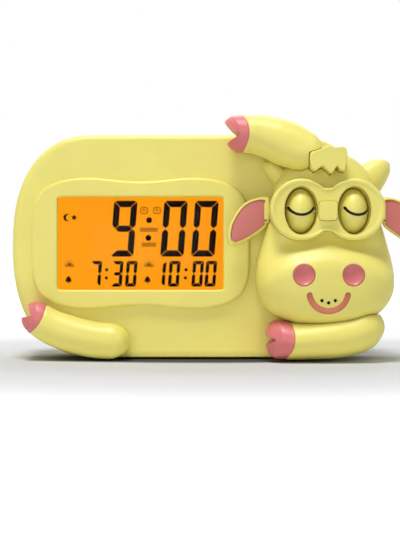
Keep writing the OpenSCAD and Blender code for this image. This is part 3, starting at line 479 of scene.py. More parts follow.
@once
def moulded(tree, linear, rough=(0.36, 0.46), mottle=0.03, relief=0.000012, metal=0.0, gloss=0.5):
    """Moulded plastic or metal: colour that drifts a little over centimetres, a gloss that
    varies over millimetres, and the fine relief of the mould's surface."""
    return {"Base Color": drift(tree, linear, mottle, 45.0),
            "Roughness": varied(tree, 260.0, *rough),
            "Metallic": metal,
            "Specular IOR Level": gloss,
            "Normal": grain(tree, 2600.0, relief)}


def shell_plastic():
    """The pale yellow plastic that most mouldings share."""
    return moulded("pale yellow plastic", finish("shell"))


def pink_plastic():
    """The pink plastic of the hooves and the nostrils."""
    return moulded("pink plastic", finish("pink"))


def button_plastic():
    """The off-white plastic of the rear buttons, and of the painted highlights on the pupils of the
    open eyes.
    """
    return moulded("button plastic", finish("button"))


def flat_paint(name, linear, rough=0.5, mottle=0.15, gloss=0.3):
    """Thin printed ink or paint, which isn't quite even."""
    return moulded(name, linear, (rough - 0.08, rough + 0.08), mottle, 0.000004, gloss=gloss)


def bare_metal(name, linear, rough):
    """Bare metal with a slightly uneven tone."""
    return moulded(name, linear, rough, 0.06, 0.000006, 1.0)


@once
def glowing(tree, linear, strength, mottle=0.04):
    """A lit panel: its own light drifts a little, as the guide behind it spreads the lamps."""
    return {"Emission Color": drift(tree, linear, mottle, 24.0, 1.0),
            "Emission Strength": strength,
            "Base Color": tinted(linear, 0.05),
            "Specular IOR Level": 0.03,
            "Roughness": varied(tree, 400.0, 0.5, 0.65)}


@once
def clear(tree):
    """The clear plastic of the window, with the faint unevenness of a moulded sheet."""
    return {"Base Color": (1, 1, 1, 1),
            "Transmission Weight": 1.0,
            "IOR": 1.12,
            "Roughness": varied(tree, 90.0, 0.02, 0.06)}


@once
def circuit_board(tree):
    """Green solder mask: fine tracks of a lighter green, and a satin surface."""
    upright = {"Vector": own_place(tree), "Rotation": (math.pi / 2, 0, 0)}
    tracks = {"Vector": wire(tree, "Mapping", upright, "Vector"),
              "Scale": 160.0,
              "Mortar Size": 0.03,
              "Color1": (0.010, 0.090, 0.040, 1),
              "Color2": (0.012, 0.110, 0.050, 1),
              "Mortar": (0.030, 0.200, 0.090, 1)}
    return {"Base Color": wire(tree, "TexBrick", tracks, "Color"),
            "Roughness": varied(tree, 500.0, 0.32, 0.45)}


@once
def battery_wrap(tree):
    """The printed sleeve of a cell: a dark sleeve with a copper band near its raised end."""
    x = wire(tree, "SeparateXYZ", {"Vector": own_place(tree)}, "X")
    low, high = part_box("batteries")
    metal, sleeve, copper = (0.60, 0.58, 0.55, 1), (0.015, 0.016, 0.018, 1), (0.55, 0.26, 0.10, 1)
    bands = ((0, metal), (0.05, sleeve), (0.72, copper), (0.95, metal))
    return {"Base Color": ramp(tree, spread(tree, x, 0, 1, low[0], high[0]), bands, "CONSTANT"),
            "Roughness": varied(tree, 300.0, 0.22, 0.34),
            "Metallic": 0.4}


# ---------------------------------------------------------------- body shells

BODY_CURVE = 2.4
FACE_RIM = 0.5                                    # flat rim of a face inside its rounded edge
SEAM_GROOVE = ((0, 0.35), (0.12, 0.1), (0.3, 0))  # inset, and distance from the seam
DISPLAY_ROOM, DOOR_ROOM = 6.2, 0.6                # how much wider than its part an opening is
KEY_HOLE_R = 3.8
KNOB_SLOT_W, KNOB_SLOT_H = 8.6, 3.6
KNOB_SLOT_RIGHT = 2.0                             # from the second key's middle to the slot's
SCREW_HEAD_R, SCREW_HOLE_R, SCREW_RIM_R = 2.8, 3.1, 3.5


def body_ring(inset, y, steps=72):
    """One outline of the body at depth y: two halves of a super-ellipse, |x/a|^2.4 + |z/b|^2.4
    = 1, at the ends of a straight middle, drawn in by inset."""
    s = Sizes("clock_body")
    t = np.concatenate([np.linspace(-90, 90, steps + 1), np.linspace(90, 270, steps + 1)])
    t = np.radians(t)
    side = np.repeat([1.0, -1.0], steps + 1)
    x = side * (s.length / 2 - s.end) + (s.end - inset) * signed_power(np.cos(t), 2 / BODY_CURVE)
    z = s.feet + s.height / 2 + (s.height / 2 - inset) * signed_power(np.sin(t), 2 / BODY_CURVE)
    return at_depth(np.stack([x, z], -1), y)


def body_shell(face_y, seam_y, lip_in, lip_out):
    """A shell from its flat face to the seam: a quarter round of the edge's radius outside, the
    wall's thickness inside it, and a tongue at the seam for the other shell."""
    s = Sizes("clock_body")
    way = 1.0 if seam_y > face_y else -1.0
    rings = [body_ring(s.edge + FACE_RIM, face_y)]
    rings += [body_ring(inset, face_y + way * deep)
              for inset, deep in rounding(s.edge, s.edge, 0, 90, 11)]
    rings += [body_ring(inset, seam_y - way * back) for inset, back in SEAM_GROOVE]
    rings += [body_ring(lip_out, seam_y), body_ring(lip_out, seam_y + lip_in),
              body_ring(s.wall, seam_y + lip_in)]
    rings += [body_ring(s.wall + inset, face_y + way * (s.wall + deep))
              for inset, deep in rounding(s.edge, s.edge, 90, 0, 6)]
    rings.append(body_ring(s.wall + s.edge + FACE_RIM, face_y + way * s.wall))
    return solid(rings)


def node_box(name):
    """The lowest and highest corner of a CAD node, in mm of the clock's own frame."""
    low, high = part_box(name)
    return np.array(low) / MM - origin(), np.array(high) / MM - origin()


def node_middle(name):
    """The middle of a CAD node's box in x and z."""
    low, high = node_box(name)
    return (low[0] + high[0]) / 2, (low[2] + high[2]) / 2


def rear_openings():
    """The holes of the rear shell: battery door, six keys, slide switch and four sunk screws."""
    s = Sizes("clock_body")
    inside, outside = s.depth - s.wall - 1, s.depth + 1
    low, high = node_box("battery_door")
    x, z = node_middle("battery_door")
    w, h = high[0] - low[0] + DOOR_ROOM, high[2] - low[2] + DOOR_ROOM
    tools = [prism(rounded(x, z, w, h, 2.5), inside, outside)]
    for i in range(1, 7):
        tools.append(prism(circle(*node_middle(f"button_{i}"), KEY_HOLE_R), inside, outside))
    x, z = node_middle("button_2")[0] + KNOB_SLOT_RIGHT, node_middle("switch_knob")[1]
    tools.append(prism(rounded(x, z, KNOB_SLOT_W, KNOB_SLOT_H, 0.8), inside, outside))
    low, high = node_box("case_screws")
    for x in (low[0] + SCREW_HEAD_R, high[0] - SCREW_HEAD_R):
        for z in (low[2] + SCREW_HEAD_R, high[2] - SCREW_HEAD_R):
            tools.append(prism(circle(x, z, SCREW_HOLE_R), s.depth - 10, outside))
            tools.append(prism(circle(x, z, SCREW_RIM_R), s.depth - 0.4, outside))
    return tools


def build_shells():
    """Front and rear shell, with the openings for the display, battery door, keys and screws."""
    s, d = Sizes("clock_body"), Sizes("clock_display")
    front = piece("body_front_shell", body_shell(0, s.seam, -2.0, s.wall / 2))
    w, h = d.window_w + DISPLAY_ROOM, d.window_h + DISPLAY_ROOM
    cut(front, prism(rounded(*window_middle(), w, h, 2), -1, 4))
    dress(front, shell_plastic(), replaces=["body_front"])

    rear = piece("body_rear_shell", body_shell(s.depth, s.seam, -1.9, s.wall / 2 + 0.1))
    cut(rear, *rear_openings())
    dress(rear, shell_plastic(), replaces=["body_rear"])


# ---------------------------------------------------------------- display

SURROUND_CURVE, WINDOW_CURVE = 4.4, 60.0
DIP_REACH = 0.29                          # half the dip's length, as a part of the surround's
OUTER_ROUND, INNER_ROUND = 1.4, 0.9       # the surround's rounded edges
SLEEVE_DEPTH, SLEEVE_WALL = 6.0, 2.0      # the sleeve behind the surround, round the window
SLANT = math.tan(math.radians(4.5))


def window_middle():
    """The middle of the display window in x and z."""
    s, d = Sizes("clock_body"), Sizes("clock_display")
    return -d.left, s.feet + s.height / 2 + d.raised


def surround_ring(inset, y, steps=192):
    """One outline of the surround: the curve |x / a|^4.4 + |z / b|^4.4 = 1, with the long edges
    dipped by a cosine wave in their middle."""
    d = Sizes("clock_display")
    x, z = box_curve(angles(steps, 0.5), d.surround_w / 2 - inset, d.surround_h / 2 - inset,
                     SURROUND_CURVE)
    along = np.minimum(1, np.abs(x) / (d.surround_w * DIP_REACH))
    dip = d.dip * (1 + np.cos(np.pi * along)) / 2
    z = z * (1 - dip / (d.surround_h / 2))
    return at_depth(np.stack([x, z], -1) + window_middle(), y)


def window_ring(grow, y, steps=192):
    """A rectangle with small rounded corners round the window, its points at the surround's
    angles."""
    d = Sizes("clock_display")
    x, z = box_curve(angles(steps, 0.5), d.window_w / 2 + grow, d.window_h / 2 + grow, WINDOW_CURVE)
    return at_depth(np.stack([x, z], -1) + window_middle(), y)


def surround():
    """The wavy surround: round outer edge, flat face, softly rounded edge into the window."""
    front = -Sizes("clock_display").proud
    back_of_edge = front + 1.3
    wide = INNER_ROUND + SLEEVE_WALL
    rings = [surround_ring(0, 0), surround_ring(0, -0.4)]
    rings += [surround_ring(inset, front + deep)
              for inset, deep in rounding(OUTER_ROUND, OUTER_ROUND, 90, 0, 9)]
    rings += [surround_ring(1.9, front), window_ring(1.3, front), window_ring(INNER_ROUND, front)]
    rings += [window_ring(inset, front + deep)
              for inset, deep in rounding(INNER_ROUND, INNER_ROUND, 0, 90, 7)]
    rings += [window_ring(0, back_of_edge), window_ring(INNER_ROUND, back_of_edge),
              window_ring(INNER_ROUND, SLEEVE_DEPTH), window_ring(wide, SLEEVE_DEPTH),
              window_ring(wide, 0)]
    return hoop(rings)


def segment_outlines(x, z, w, h, t, lit):
    """The lit ones of the seven segments a to g of a slanting digit. They meet along thin gaps
    at 45 degrees, and the digit's outer corners are cut off."""
    g, c, m = 0.05 * t, 0.34 * t, h / 2
    top = [(c + g, h), (w - c - g, h), (w - c / 2 - g, h - c / 2), (w - t - g, h - t), (t + g, h - t),
           (c / 2 + g, h - c / 2)]
    left = [(0, h - c - g), (c / 2, h - c / 2 - g), (t, h - t - g), (t, m + t / 2 + g), (t / 2, m + g),
            (0, m + t / 2 + g)]
    bar = [(t / 2 + g, m), (t + g, m + t / 2), (w - t - g, m + t / 2), (w - t / 2 - g, m),
           (w - t - g, m - t / 2), (t + g, m - t / 2)]
    top, left, bar = np.array(top), np.array(left), np.array(bar)
    over, side = np.array([[0, h], [1, -1]]), np.array([[w, 0], [-1, 1]])
    bars = {"a": top, "d": over[0] + top * over[1], "f": left, "e": over[0] + left * over[1],
            "b": side[0] + left * side[1], "c": side[0] + over[0] + left * side[1] * over[1], "g": bar}
    return [np.stack([x + bars[k][:, 0] + SLANT * bars[k][:, 1], z + bars[k][:, 1]], -1) for k in lit]


SEGMENTS = {"0": "abcdef", "1": "bc", "3": "abcdg", "7": "abc", "9": "abcdfg"}

# Places on the panel, in x and z. A large digit is placed by its left foot, and a small one by
# the right end of its slanting top.
MARK_DEPTHS = (-0.13, -0.09)
LARGE_DIGITS = (("9", -39.0), ("0", -15.4), ("0", -0.9))
LARGE_Z, LARGE_SLIM, LARGE_STROKE = 48.45, 0.422, 3.0
SMALL_DIGITS = (("7", -42.519), ("3", -32.461), ("0", -25.834), ("1", -12.298), ("0", -5.671),
                ("0", 5.327), ("0", 11.484))
SMALL_Z, SMALL_SLIM, SMALL_STROKE = 34.4, 0.43, 1.6
DOTS = ((-20.523, 65.561, 1.4), (-20.852, 57.242, 1.4), (-40.451, 42.296, 0.75),
        (-40.639, 38.489, 0.75), (-3.18, 42.296, 0.75), (-3.462, 38.489, 0.75))
CLOCK_SIGNS = ((-22.873, 70.12), (-16.81, 70.12))
BLOCK_ROWS = ((-20.664, 61.049, 5), (-20.617, 54.093, 4))
MOON_AT = (-57.324, 66.83)
SUNS = ((-57.935, 44.975), (-20.664, 44.975))
BELLS = ((-58.358, 37.737), (-21.275, 37.737))


def mark(outline):
    """A printed mark of the display, from its outline."""
    return prism(outline, *MARK_DEPTHS)


def band(a, b, closed=False):
    """A printed mark of the display, between two curves."""
    return strip(a, b, *MARK_DEPTHS, closed)


def digits():
    """The time in large digits, and two alarm times in small ones."""
    d = Sizes("clock_display")
    outlines = []
    w, h = LARGE_SLIM * d.digit, d.digit
    for digit, left in LARGE_DIGITS:
        outlines += segment_outlines(left, LARGE_Z, w, h, LARGE_STROKE, SEGMENTS[digit])
    w, h = SMALL_SLIM * d.small_digit, d.small_digit
    for digit, right in SMALL_DIGITS:
        left = right - w - SLANT * h
        outlines += segment_outlines(left, SMALL_Z, w, h, SMALL_STROKE, SEGMENTS[digit])
    return [mark(o) for o in outlines]


def clock_sign(x, z):
    """A small blank dial: a rounded frame with two hands."""
    return [band(rounded(x, z, 3.6, 3.2, 1.2), rounded(x, z, 2.9, 2.5, 0.9), True),
            mark(rounded(x - 0.25, z + 0.4, 0.4, 1.2, 0.1)),
            mark(rounded(x + 0.2, z - 0.1, 0.9, 0.4, 0.1))]


def block_row(x, z, count, pitch=1.7):
    """A row of small open blocks, where a clock shows a short word."""
    middles = x + pitch * (np.arange(count) - (count - 1) / 2)
    return [band(rounded(at, z, 1.35, 1.9, 0.4), rounded(at, z, 0.55, 1.1, 0.2), True)
            for at in middles]


def moon(x, z):
    """A crescent between two arcs, and a star beside it."""
    return [band(arc(x - 1.7, z, 1.75, 40, 320), arc(x - 0.8, z, 1.45, 55, 305)),
            mark(star(x + 1.6, z, 1.6, 0.7))]


def star(x, z, outer, inner):
    """A star of five points."""
    a = np.radians(90 + 36 * np.arange(10))
    r = np.where(np.arange(10) % 2, inner, outer)
    return np.stack([x + r * np.cos(a), z + r * np.sin(a)], -1)


def sun(x, z, near=1.4, far=2.2, half=0.2):
    """Half a sun on a horizon, with five rays."""
    z = z - 0.5
    shapes = [mark(arc(x, z, 1.0, 0, 180, 16)), mark(rounded(x, z - 0.45, 4.4, 0.5, 0.2))]
    for angle in (10, 50, 90, 130, 170):
        along, side = heading(angle), half * heading(angle + 90)
        start, end = (x, z) + near * along, (x, z) + far * along
        shapes.append(mark([start + side, end + side, end - side, start - side]))
    return shapes


def bell(x, z):
    """A bell: a dome that flares to its rim, with a clapper and a knob."""
    u = np.linspace(0, 1, 14)
    half = 0.35 + 1.0 * np.sqrt(np.sin(u * np.pi / 2)) + 0.35 * np.maximum(0, u - 0.8) / 0.2
    down = z + 1.2 - 2.3 * u
    dome = band(np.stack([x - half, down], -1), np.stack([x + half, down], -1))
    return [dome, mark(circle(x, z + 1.35, 0.35, 16)), mark(circle(x, z - 1.5, 0.4, 16))]


def display_marks():
    """Everything the panel shows: the time, two alarm times, and small signs beside them."""
    shapes = digits() + [mark(circle(*dot, 32)) for dot in DOTS]
    for sign, places in ((clock_sign, CLOCK_SIGNS), (block_row, BLOCK_ROWS), (moon, [MOON_AT]),
                         (sun, SUNS), (bell, BELLS)):
        for at in places:
            shapes += sign(*at)
    return shapes


def build_display():
    """Surround, clear window, lit panel and its dark marks."""
    dress(piece("display_frame", surround()), shell_plastic(), replaces=["display_surround"])
    low, high = node_box("lcd_panel")
    x, z = window_middle()
    w, h = high[0] - low[0], high[2] - low[2]
    panel = piece("lit_panel", prism(rounded(x, z, w, h, 0.8), low[1] + 0.02, high[1]))
    dress(panel, glowing("lit amber panel", finish("lcd"), 1.0), replaces=["lcd_panel"])
    dark = flat_paint("display segments", finish("segment"), 0.5, gloss=0.02)
    dress(piece("display_marks", *display_marks()), dark)
    low, high = node_box("display_lens")
    edge, face = rounded(x, z, w, h, 0.8), rounded(x, z, w - 0.5, h - 0.5, 0.6)
    window = piece("clear_window", solid([at_depth(face, low[1]), at_depth(edge, low[1] + 0.25),
                                          at_depth(edge, high[1] - 0.15), at_depth(face, high[1])]))
    dress(window, clear("clear window plastic"), replaces=["display_lens"])


# ---------------------------------------------------------------- head

SIDES = ((-1, "left"), (1, "right"))
HEAD_MID, HEAD_REACH, HEAD_EDGE = 52.0, 29.0, 3.0   # middle, mean half-width and depth of the edge
MUZZLE_UP, MUZZLE_DOWN, MUZZLE_CURVE = 35.0, 21.8, 2.2
BROW_Z, BROW_FALL, MUZZLE_RISE = 61.0, 0.010, 19.5
FACE_CURVE = 4                                      # the face's fall towards its edge
AHEAD = -40.0                                       # in front of everything, where a cutter starts


def head_half(z):
    """Half of the head's width at height z: the fourth root of the skull's and the muzzle's
    half-widths to the fourth, so that the two round forms flow together."""
    h = Sizes("clock_head")
    skull = np.sqrt(np.maximum(0, h.skull_r ** 2 - (z - h.skull_z) ** 2))
    u = np.abs(z - h.muzzle_z) / np.where(z > h.muzzle_z, MUZZLE_UP, MUZZLE_DOWN)
    muzzle = h.muzzle_w * blunt(np.minimum(u, 1), MUZZLE_CURVE)
    return (skull ** 4 + muzzle ** 4) ** 0.25


def face_depth(x, z):
    """How far the face stands in front of the body: the face, and the muzzle below the brow,
    which comes forward over a height of 19.5 mm as 6 t^5 - 15 t^4 + 10 t^3. The brow's line
    falls away to both sides as x^2."""
    h = Sizes("clock_head")
    t = np.clip((BROW_Z - BROW_FALL * x ** 2 - z) / MUZZLE_RISE, 0, 1)
    return h.face + h.muzzle * t ** 3 * (10 - 15 * t + 6 * t ** 2)


def head_span():
    """The lowest and highest z of the head."""
    h = Sizes("clock_head")
    return h.muzzle_z - MUZZLE_DOWN, h.skull_z + h.skull_r


def head_outline(s, steps=160):
    """x and z of the head's outline, scaled by s about a point in its middle."""
    t = angles(steps, 0.5)
    low, top = head_span()
    z = low + (top - low) / 2 * (1 + np.sin(t))
    return s * np.sign(np.cos(t)) * head_half(z), HEAD_MID + s * (z - HEAD_MID)


def head_ring(s, y):
    """An outline of the head at depth y."""
    return at_depth(np.stack(head_outline(s), -1), y)


def face_ring(s, inset=0.0):
    """A ring on the face: the depth falls off towards the edge as (1 - s^4)^(1/4)."""
    x, z = head_outline(s * (1 - inset / HEAD_REACH))
    rise = blunt(min(1.0, s), FACE_CURVE)
    return np.stack([x, -HEAD_EDGE - (face_depth(x, z) - inset - HEAD_EDGE) * rise, z], -1)


def head_front(x, z):
    """How far the face stands in front of the body at places x and z of the head. The scale s
    of the outline through each place is found by halving its bounds 30 times."""
    x, z = np.asarray(x, float), np.asarray(z, float)
    bottom, top = head_span()
    low, high = np.zeros_like(x + z), np.full_like(x + z, 1.2)
    for _ in range(30):
        s = (low + high) / 2
        at = HEAD_MID + (z - HEAD_MID) / s
        inside = (at < top) & (at > bottom) & (np.abs(x) / s < head_half(at))
        low, high = np.where(inside, low, s), np.where(inside, s, high)
    rise = blunt(np.minimum(1, high), FACE_CURVE)
    return HEAD_EDGE + (face_depth(x, z) - HEAD_EDGE) * rise


def in_head(points):
    """Points of the head's own frame, moved to the head's place on the clock."""
    return np.asarray(points, float) + np.array([Sizes("clock_head").right, 0, 0])


def moved(shape):
    """A solid of the head's own frame, moved to the head's place."""
    return in_head(shape[0]), shape[1]


def mirrored(shape):
    """A solid of the head's own frame, mirrored left to right, its faces turned round again."""
    points = shape[0] * np.array([-1.0, 1, 1])
    return points, [f[:, ::-1] for f in shape[1]]


def sided(side, shape):
    """A solid drawn for the head's right half: mirrored for the left side, and moved to the
    head's place."""
    return moved(mirrored(shape) if side < 0 else shape)


GOGGLE_BACK = -12.0
LOBE_BLEND = 2.29
GOGGLE_UP = 0.4          # how far the goggles' middle lies above the eyes' axle


def goggle_height(x):
    """Half-height of the goggles at x: both round lobes joined, h = (a^p + b^p)^(1/p)."""
    e = Sizes("clock_eyes")
    a = np.sqrt(np.maximum(0, e.lobe ** 2 - (x - e.gap / 2) ** 2))
    b = np.sqrt(np.maximum(0, e.lobe ** 2 - (x + e.gap / 2) ** 2))
    return (a ** LOBE_BLEND + b ** LOBE_BLEND) ** (1 / LOBE_BLEND)


def goggle_ring(inset, y, steps=144):
    """An outline of the goggles at depth y, drawn in by inset."""
    e = Sizes("clock_eyes")
    half = e.gap / 2 + e.lobe
    t = angles(steps, 0.5)
    x = half * np.cos(t)
    z = np.sign(np.sin(t)) * goggle_height(x)
    return at_depth(np.stack([x * (1 - inset / half),
                              e.height + GOGGLE_UP + z * (1 - inset / e.lobe)], -1), y)


SMILE_Z, SMILE_ENDS = 32.4, (190, 350)


def smile_curve(offset, y0, y1, steps=48):
    """The smile's band: an arc with round ends, grown by offset."""
    h = Sizes("clock_head")
    w = h.smile_w / 2 + offset
    outer, inner, mid = [arc(0, SMILE_Z, h.smile_r + out, *SMILE_ENDS, steps) for out in (w, -w, 0)]
    v = np.linspace(np.pi / 2, 0.06, 10)[:, None]
    caps = []
    for i, angle in ((0, SMILE_ENDS[0] - 90), (-1, SMILE_ENDS[1] + 90)):
        across = (outer[i] - inner[i]) / (2 * w)
        reach = mid[i] + w * np.cos(v) * heading(angle)
        caps.append((reach + w * np.sin(v) * across, reach - w * np.sin(v) * across))
    start, end = caps
    a = np.concatenate([start[0][:0:-1], outer, end[0][1:]])
    b = np.concatenate([start[1][:0:-1], inner, end[1][1:]])
    return strip(a, b, y0, y1)


def raised_block(outline_of, y_back, y_front, round_r, crown):
    """A block in front of y_back: its outline, rounded over to a front that bulges by crown.
    outline_of(inset) gives its outline drawn in by inset."""
    rings = [at_depth(outline_of(0), y_back), at_depth(outline_of(0), y_front + round_r)]
    rings += [at_depth(outline_of(inset), y_front + deep)
              for inset, deep in rounding(round_r, round_r, 75, 0, 6)]
    last = outline_of(round_r)
    middle = last.mean(0)
    rings += [at_depth(middle + (last - middle) * k, y_front - crown * (1 - k ** 2))
              for k in (0.85, 0.6, 0.35, 0.12)]
    return solid(rings)


TUFT = [[-8.3, 92.0], [-8.1, 95.2], [-4.6, 96.2], [-2.2, 97.3], [0.5, 98.2], [3.1, 97.4], [6.7, 97.8],
        [8.2, 96.7], [8.6, 92.5], [7.4, 86.6], [5.2, 87.2], [4.2, 89.3], [1.4, 85.4], [-2.4, 89.2],
        [-6.0, 86.6], [-7.8, 88.4]]


def tuft_outline(grow, steps=9, soften=0.2):
    """The tuft's outline: its straight edges moved out by grow and joined again at mitres, and
    then each corner rounded off by a parabola."""
    p = np.asarray(TUFT, float)
    run = np.roll(p, -1, 0) - p
    run /= np.linalg.norm(run, axis=1, keepdims=True)
    out = np.stack([-run[:, 1], run[:, 0]], -1)
    back = np.roll(out, 1, 0)
    p = p + grow * (out + back) / (1 + np.sum(out * back, axis=1, keepdims=True))
    before, after = np.roll(p, 1, 0), np.roll(p, -1, 0)
    t = np.linspace(0, 1, steps)[None, :, None]
    a, b, c = (p + (before - p) * soften)[:, None], (p + (after - p) * soften)[:, None], p[:, None]
    return ((1 - t) ** 2 * a + 2 * t * (1 - t) * c + t ** 2 * b).reshape(-1, 2)


def head_shell():
    """The head's housing: its face outside, and the same face drawn in by the wall inside."""
    wall = Sizes("clock_body").wall
    levels = 1 - 0.985 * np.linspace(0, 1, 84) ** 3.2
    inside = 1 - wall / HEAD_REACH
    rings = [face_ring(s, wall) for s in levels[::-3]]
    rings += [head_ring(s, y) for s, y in ((inside, -2.5), (inside, -0.05), (0.965, -0.05),
                                           (0.985, -0.35), (0.997, -0.9), (1, -1.6))]
    return solid(rings + [face_ring(s) for s in levels[1:]])


NOSTRIL_X, NOSTRIL_UP = 11.1, 3.0       # from the head's middle, and above the muzzle's widest line
SOUND_HOLE_X, SOUND_HOLE_Z, SOUND_HOLE_R = 3.0, (28.5, 27.5), 0.8   # outer two, and the middle one
TUFT_POCKET, SMILE_POCKET, NOSTRIL_POCKET, SOUND_HOLE_BACK = -9.6, -21.0, -21.5, -19.5
DISH = 0.55                             # how deep the goggles' face lies behind their rim
DISH_STEPS = ((1.3, 0.02), (1.7, 0.15), (2.1, 0.55), (2.5, 0.85), (2.9, 0.96), (4.5, 1), (9, 1))


def build_housing():
    """The head's housing, with its recesses for all that is set into it and its sound holes."""
    h = Sizes("clock_head")
    head = piece("head_housing", moved(head_shell()))
    back = goggle_ring(-0.1, GOGGLE_BACK)[:, [0, 2]]
    tools = [prism(back, AHEAD, GOGGLE_BACK), prism(tuft_outline(0.3), AHEAD, TUFT_POCKET),
             smile_curve(0.1, AHEAD, SMILE_POCKET)]
    for side in (-1, 1):
        nostril = circle(side * NOSTRIL_X, h.muzzle_z + NOSTRIL_UP, h.nostril + 0.1, 64)
        hole = circle(side * SOUND_HOLE_X, SOUND_HOLE_Z[0], SOUND_HOLE_R, 24)
        tools += [prism(nostril, AHEAD, NOSTRIL_POCKET), prism(hole, AHEAD, SOUND_HOLE_BACK)]
    tools.append(prism(circle(0, SOUND_HOLE_Z[1], SOUND_HOLE_R, 24), AHEAD, SOUND_HOLE_BACK))
    cut(head, *[moved(t) for t in tools], sharp=35)
    dress(head, shell_plastic(), replaces=["head_shell"])


def eye_hole(side, grow):
    """The oval outline of an eyeball, grown all round."""
    e = Sizes("clock_eyes")
    return oval(side * e.gap / 2, e.height, e.half_w + grow, e.radius + grow)


PAD_HALF_W, PAD_HALF_H, PAD_Z, PAD_CORNER = 4.15, 4.3, 68.8, 0.36


def pad_outline(inset):
    """The bridge pad's outline: a nearly square super-ellipse, drawn in by inset."""
    t = angles(72, 0.5)
    return np.stack([signed_power(np.cos(t), PAD_CORNER) * (PAD_HALF_W - inset),
                     PAD_Z + signed_power(np.sin(t), PAD_CORNER) * (PAD_HALF_H - inset)], -1)


def build_goggles():
    """The goggles: a dished plate with two eye holes, a hollow behind its bridge and a pocket
    for the bridge pad."""
    e = Sizes("clock_eyes")
    behind = GOGGLE_BACK - 0.1
    rings = [goggle_ring(2, -e.front + 2.5), goggle_ring(2, behind), goggle_ring(0, behind)]
    rings += [goggle_ring(inset, -e.front + deep) for inset, deep in rounding(1.1, 1.3, 90, 0, 9)]
    rings += [goggle_ring(inset, -e.front + DISH * part) for inset, part in DISH_STEPS]
    mask = piece("goggle_mask", moved(solid(rings)))
    tools = [prism(eye_hole(side, e.hole + grow), -e.front - 1, -e.front + depth)
             for side in (-1, 1) for grow, depth in ((0, 4), (0.35, 1.0))]
    tools.append(prism(rounded(0, e.height - 6.5, 8.2, 14, 0.5), -e.front + 6, -5))
    cut(mask, *[moved(t) for t in tools], sharp=35)
    cut(mask, moved(prism(pad_outline(-0.3), -e.front - 4, -e.front + 1.3)), sharp=40)
    dress(mask, shell_plastic(), replaces=["goggles"])


def build_collars():
    """A collar behind each eye hole, with a lip that closes on the eyeball."""
    e = Sizes("clock_eyes")
    profile = [(1.7, -e.front + 1.2), (e.hole, -e.front + 1.2), (e.hole, -18.0),
               (e.hole - 0.2, -17.7), (0.16, -17.6), (0.16, -17.42), (1.7, -17.42)]
    for side, name in SIDES:
        rings = [at_depth(eye_hole(side, grow), y) for grow, y in profile]
        dress(piece(f"eye_collar_{name}", moved(hoop(rings))), shell_plastic())


def build_bridge_pad():
    """The cushion on the goggles' bridge."""
    front = -Sizes("clock_eyes").front
    pad = raised_block(pad_outline, front + 1.6, front - 1.42, 0.38, 0.06)
    dress(piece("bridge_cushion", moved(pad)), shell_plastic(), replaces=["bridge_pad"])


def nostril_profile(dish=4.4, deep=1.7, back=3.2):
    """Radius and depth along a nostril: a dish as sqrt(1 - k^2), a rounded rim and a flat back."""
    r = Sizes("clock_head").nostril
    rows = [[0.01, -deep]]
    rows += [[dish * k, -deep * math.sqrt(max(0, 1 - 0.98 * k * k))] for k in np.linspace(0, 1, 12)[1:]]
    return np.array(rows + [[dish + 0.25, -0.12], [r - 0.45, 0], [r - 0.15, -0.1], [r, -0.45],
                            [r, -back], [0.01, -back]])


def build_inlays():
    """Both nostrils and the smile, set into the housing."""
    h = Sizes("clock_head")
    front = node_box("nostril_left")[0][1]
    profile = [0, front] + nostril_profile() * [1, -1]
    for side, name in SIDES:
        shape = turned(profile, (side * NOSTRIL_X, 0, h.muzzle_z + NOSTRIL_UP), "y", 72)
        inlay = piece(f"nostril_inlay_{name}", moved(shape))
        dress(inlay, pink_plastic(), replaces=[f"nostril_{name}"])
    low, high = node_box("smile")
    smile = piece("smile_inlay", moved(smile_curve(0, low[1], high[1])))
    rose = flat_paint("smile plastic", finish("smile"), 0.45, 0.04)
    dress(smile, rose, replaces=["smile"])


def build_head():
    """The head's shell with its recesses, the goggles, bridge pad, nostrils and smile."""
    build_housing()
    build_goggles()
    build_collars()
    build_bridge_pad()
    build_inlays()


# ---------------------------------------------------------------- eyes

LID_ARC, LID_R, LID_Z, LID_HALF = 64, 6.75, 73.85, 0.6   # half angle, radius, middle, half width
LID_SECTION = ((1, -0.25), (1, 0.03), (0.6, 0.10), (0, 0.12), (-0.6, 0.10), (-1, 0.03), (-1, -0.25))
LID_SHIFT = {-1: 0.0, 1: 1.3}                            # the right lid line lies off its middle
PATCH_SECTION = ((0.02, 0), (0.5, 0), (1, 0), (1, 0.5), (0.96, 1), (0.7, 1), (0.4, 1), (0.02, 1))
PATCH_ROOT = -0.3                                        # how deep a patch of paint starts


def on_eye(side, x, z, proud, back=False):
    """Points on an eyeball at x and z from its middle: y = sqrt(R^2 (1 - x^2 / w^2) - z^2)."""
    e = Sizes("clock_eyes")
    k = (e.radius + proud) / e.radius
    y = np.sqrt(np.maximum(0, e.radius ** 2 * (1 - (x / e.half_w) ** 2) - z ** 2)) * k
    middle = np.array([side * e.gap / 2, -(e.front + e.proud - e.radius), e.height])
    return np.stack([x + 0 * y, y if back else -y, z + 0 * y], -1) + middle


def lid_line(side):
    """The line of the closed lids: an arc on the eyeball, with a round section and round ends."""
    t = np.linspace(-LID_ARC, LID_ARC, 60)
    tip = np.maximum(0, (np.abs(t) / LID_ARC - 0.93) / 0.07)
    half = LID_HALF * np.sqrt(np.maximum(0.02, 1 - tip ** 2))
    a = np.radians(270 + t)
    z = LID_Z - Sizes("clock_eyes").height
    rings = []
    for k, proud in LID_SECTION:
        r = LID_R + k * half
        rings.append(on_eye(side, LID_SHIFT[side] + r * np.cos(a), z + r * np.sin(a), proud))
    return solid(np.stack(rings, 1))


def eye_patch(side, x, z, w, h, proud):
    """An oval of paint on the back of an eyeball, which the open face shows."""
    rings = []
    for k, part in PATCH_SECTION:
        outline = oval(x, z, k * w, k * h, 48)
        lift = proud * part if part else PATCH_ROOT
        rings.append(on_eye(side, outline[:, 0], outline[:, 1], lift, back=True))
    return solid(rings)


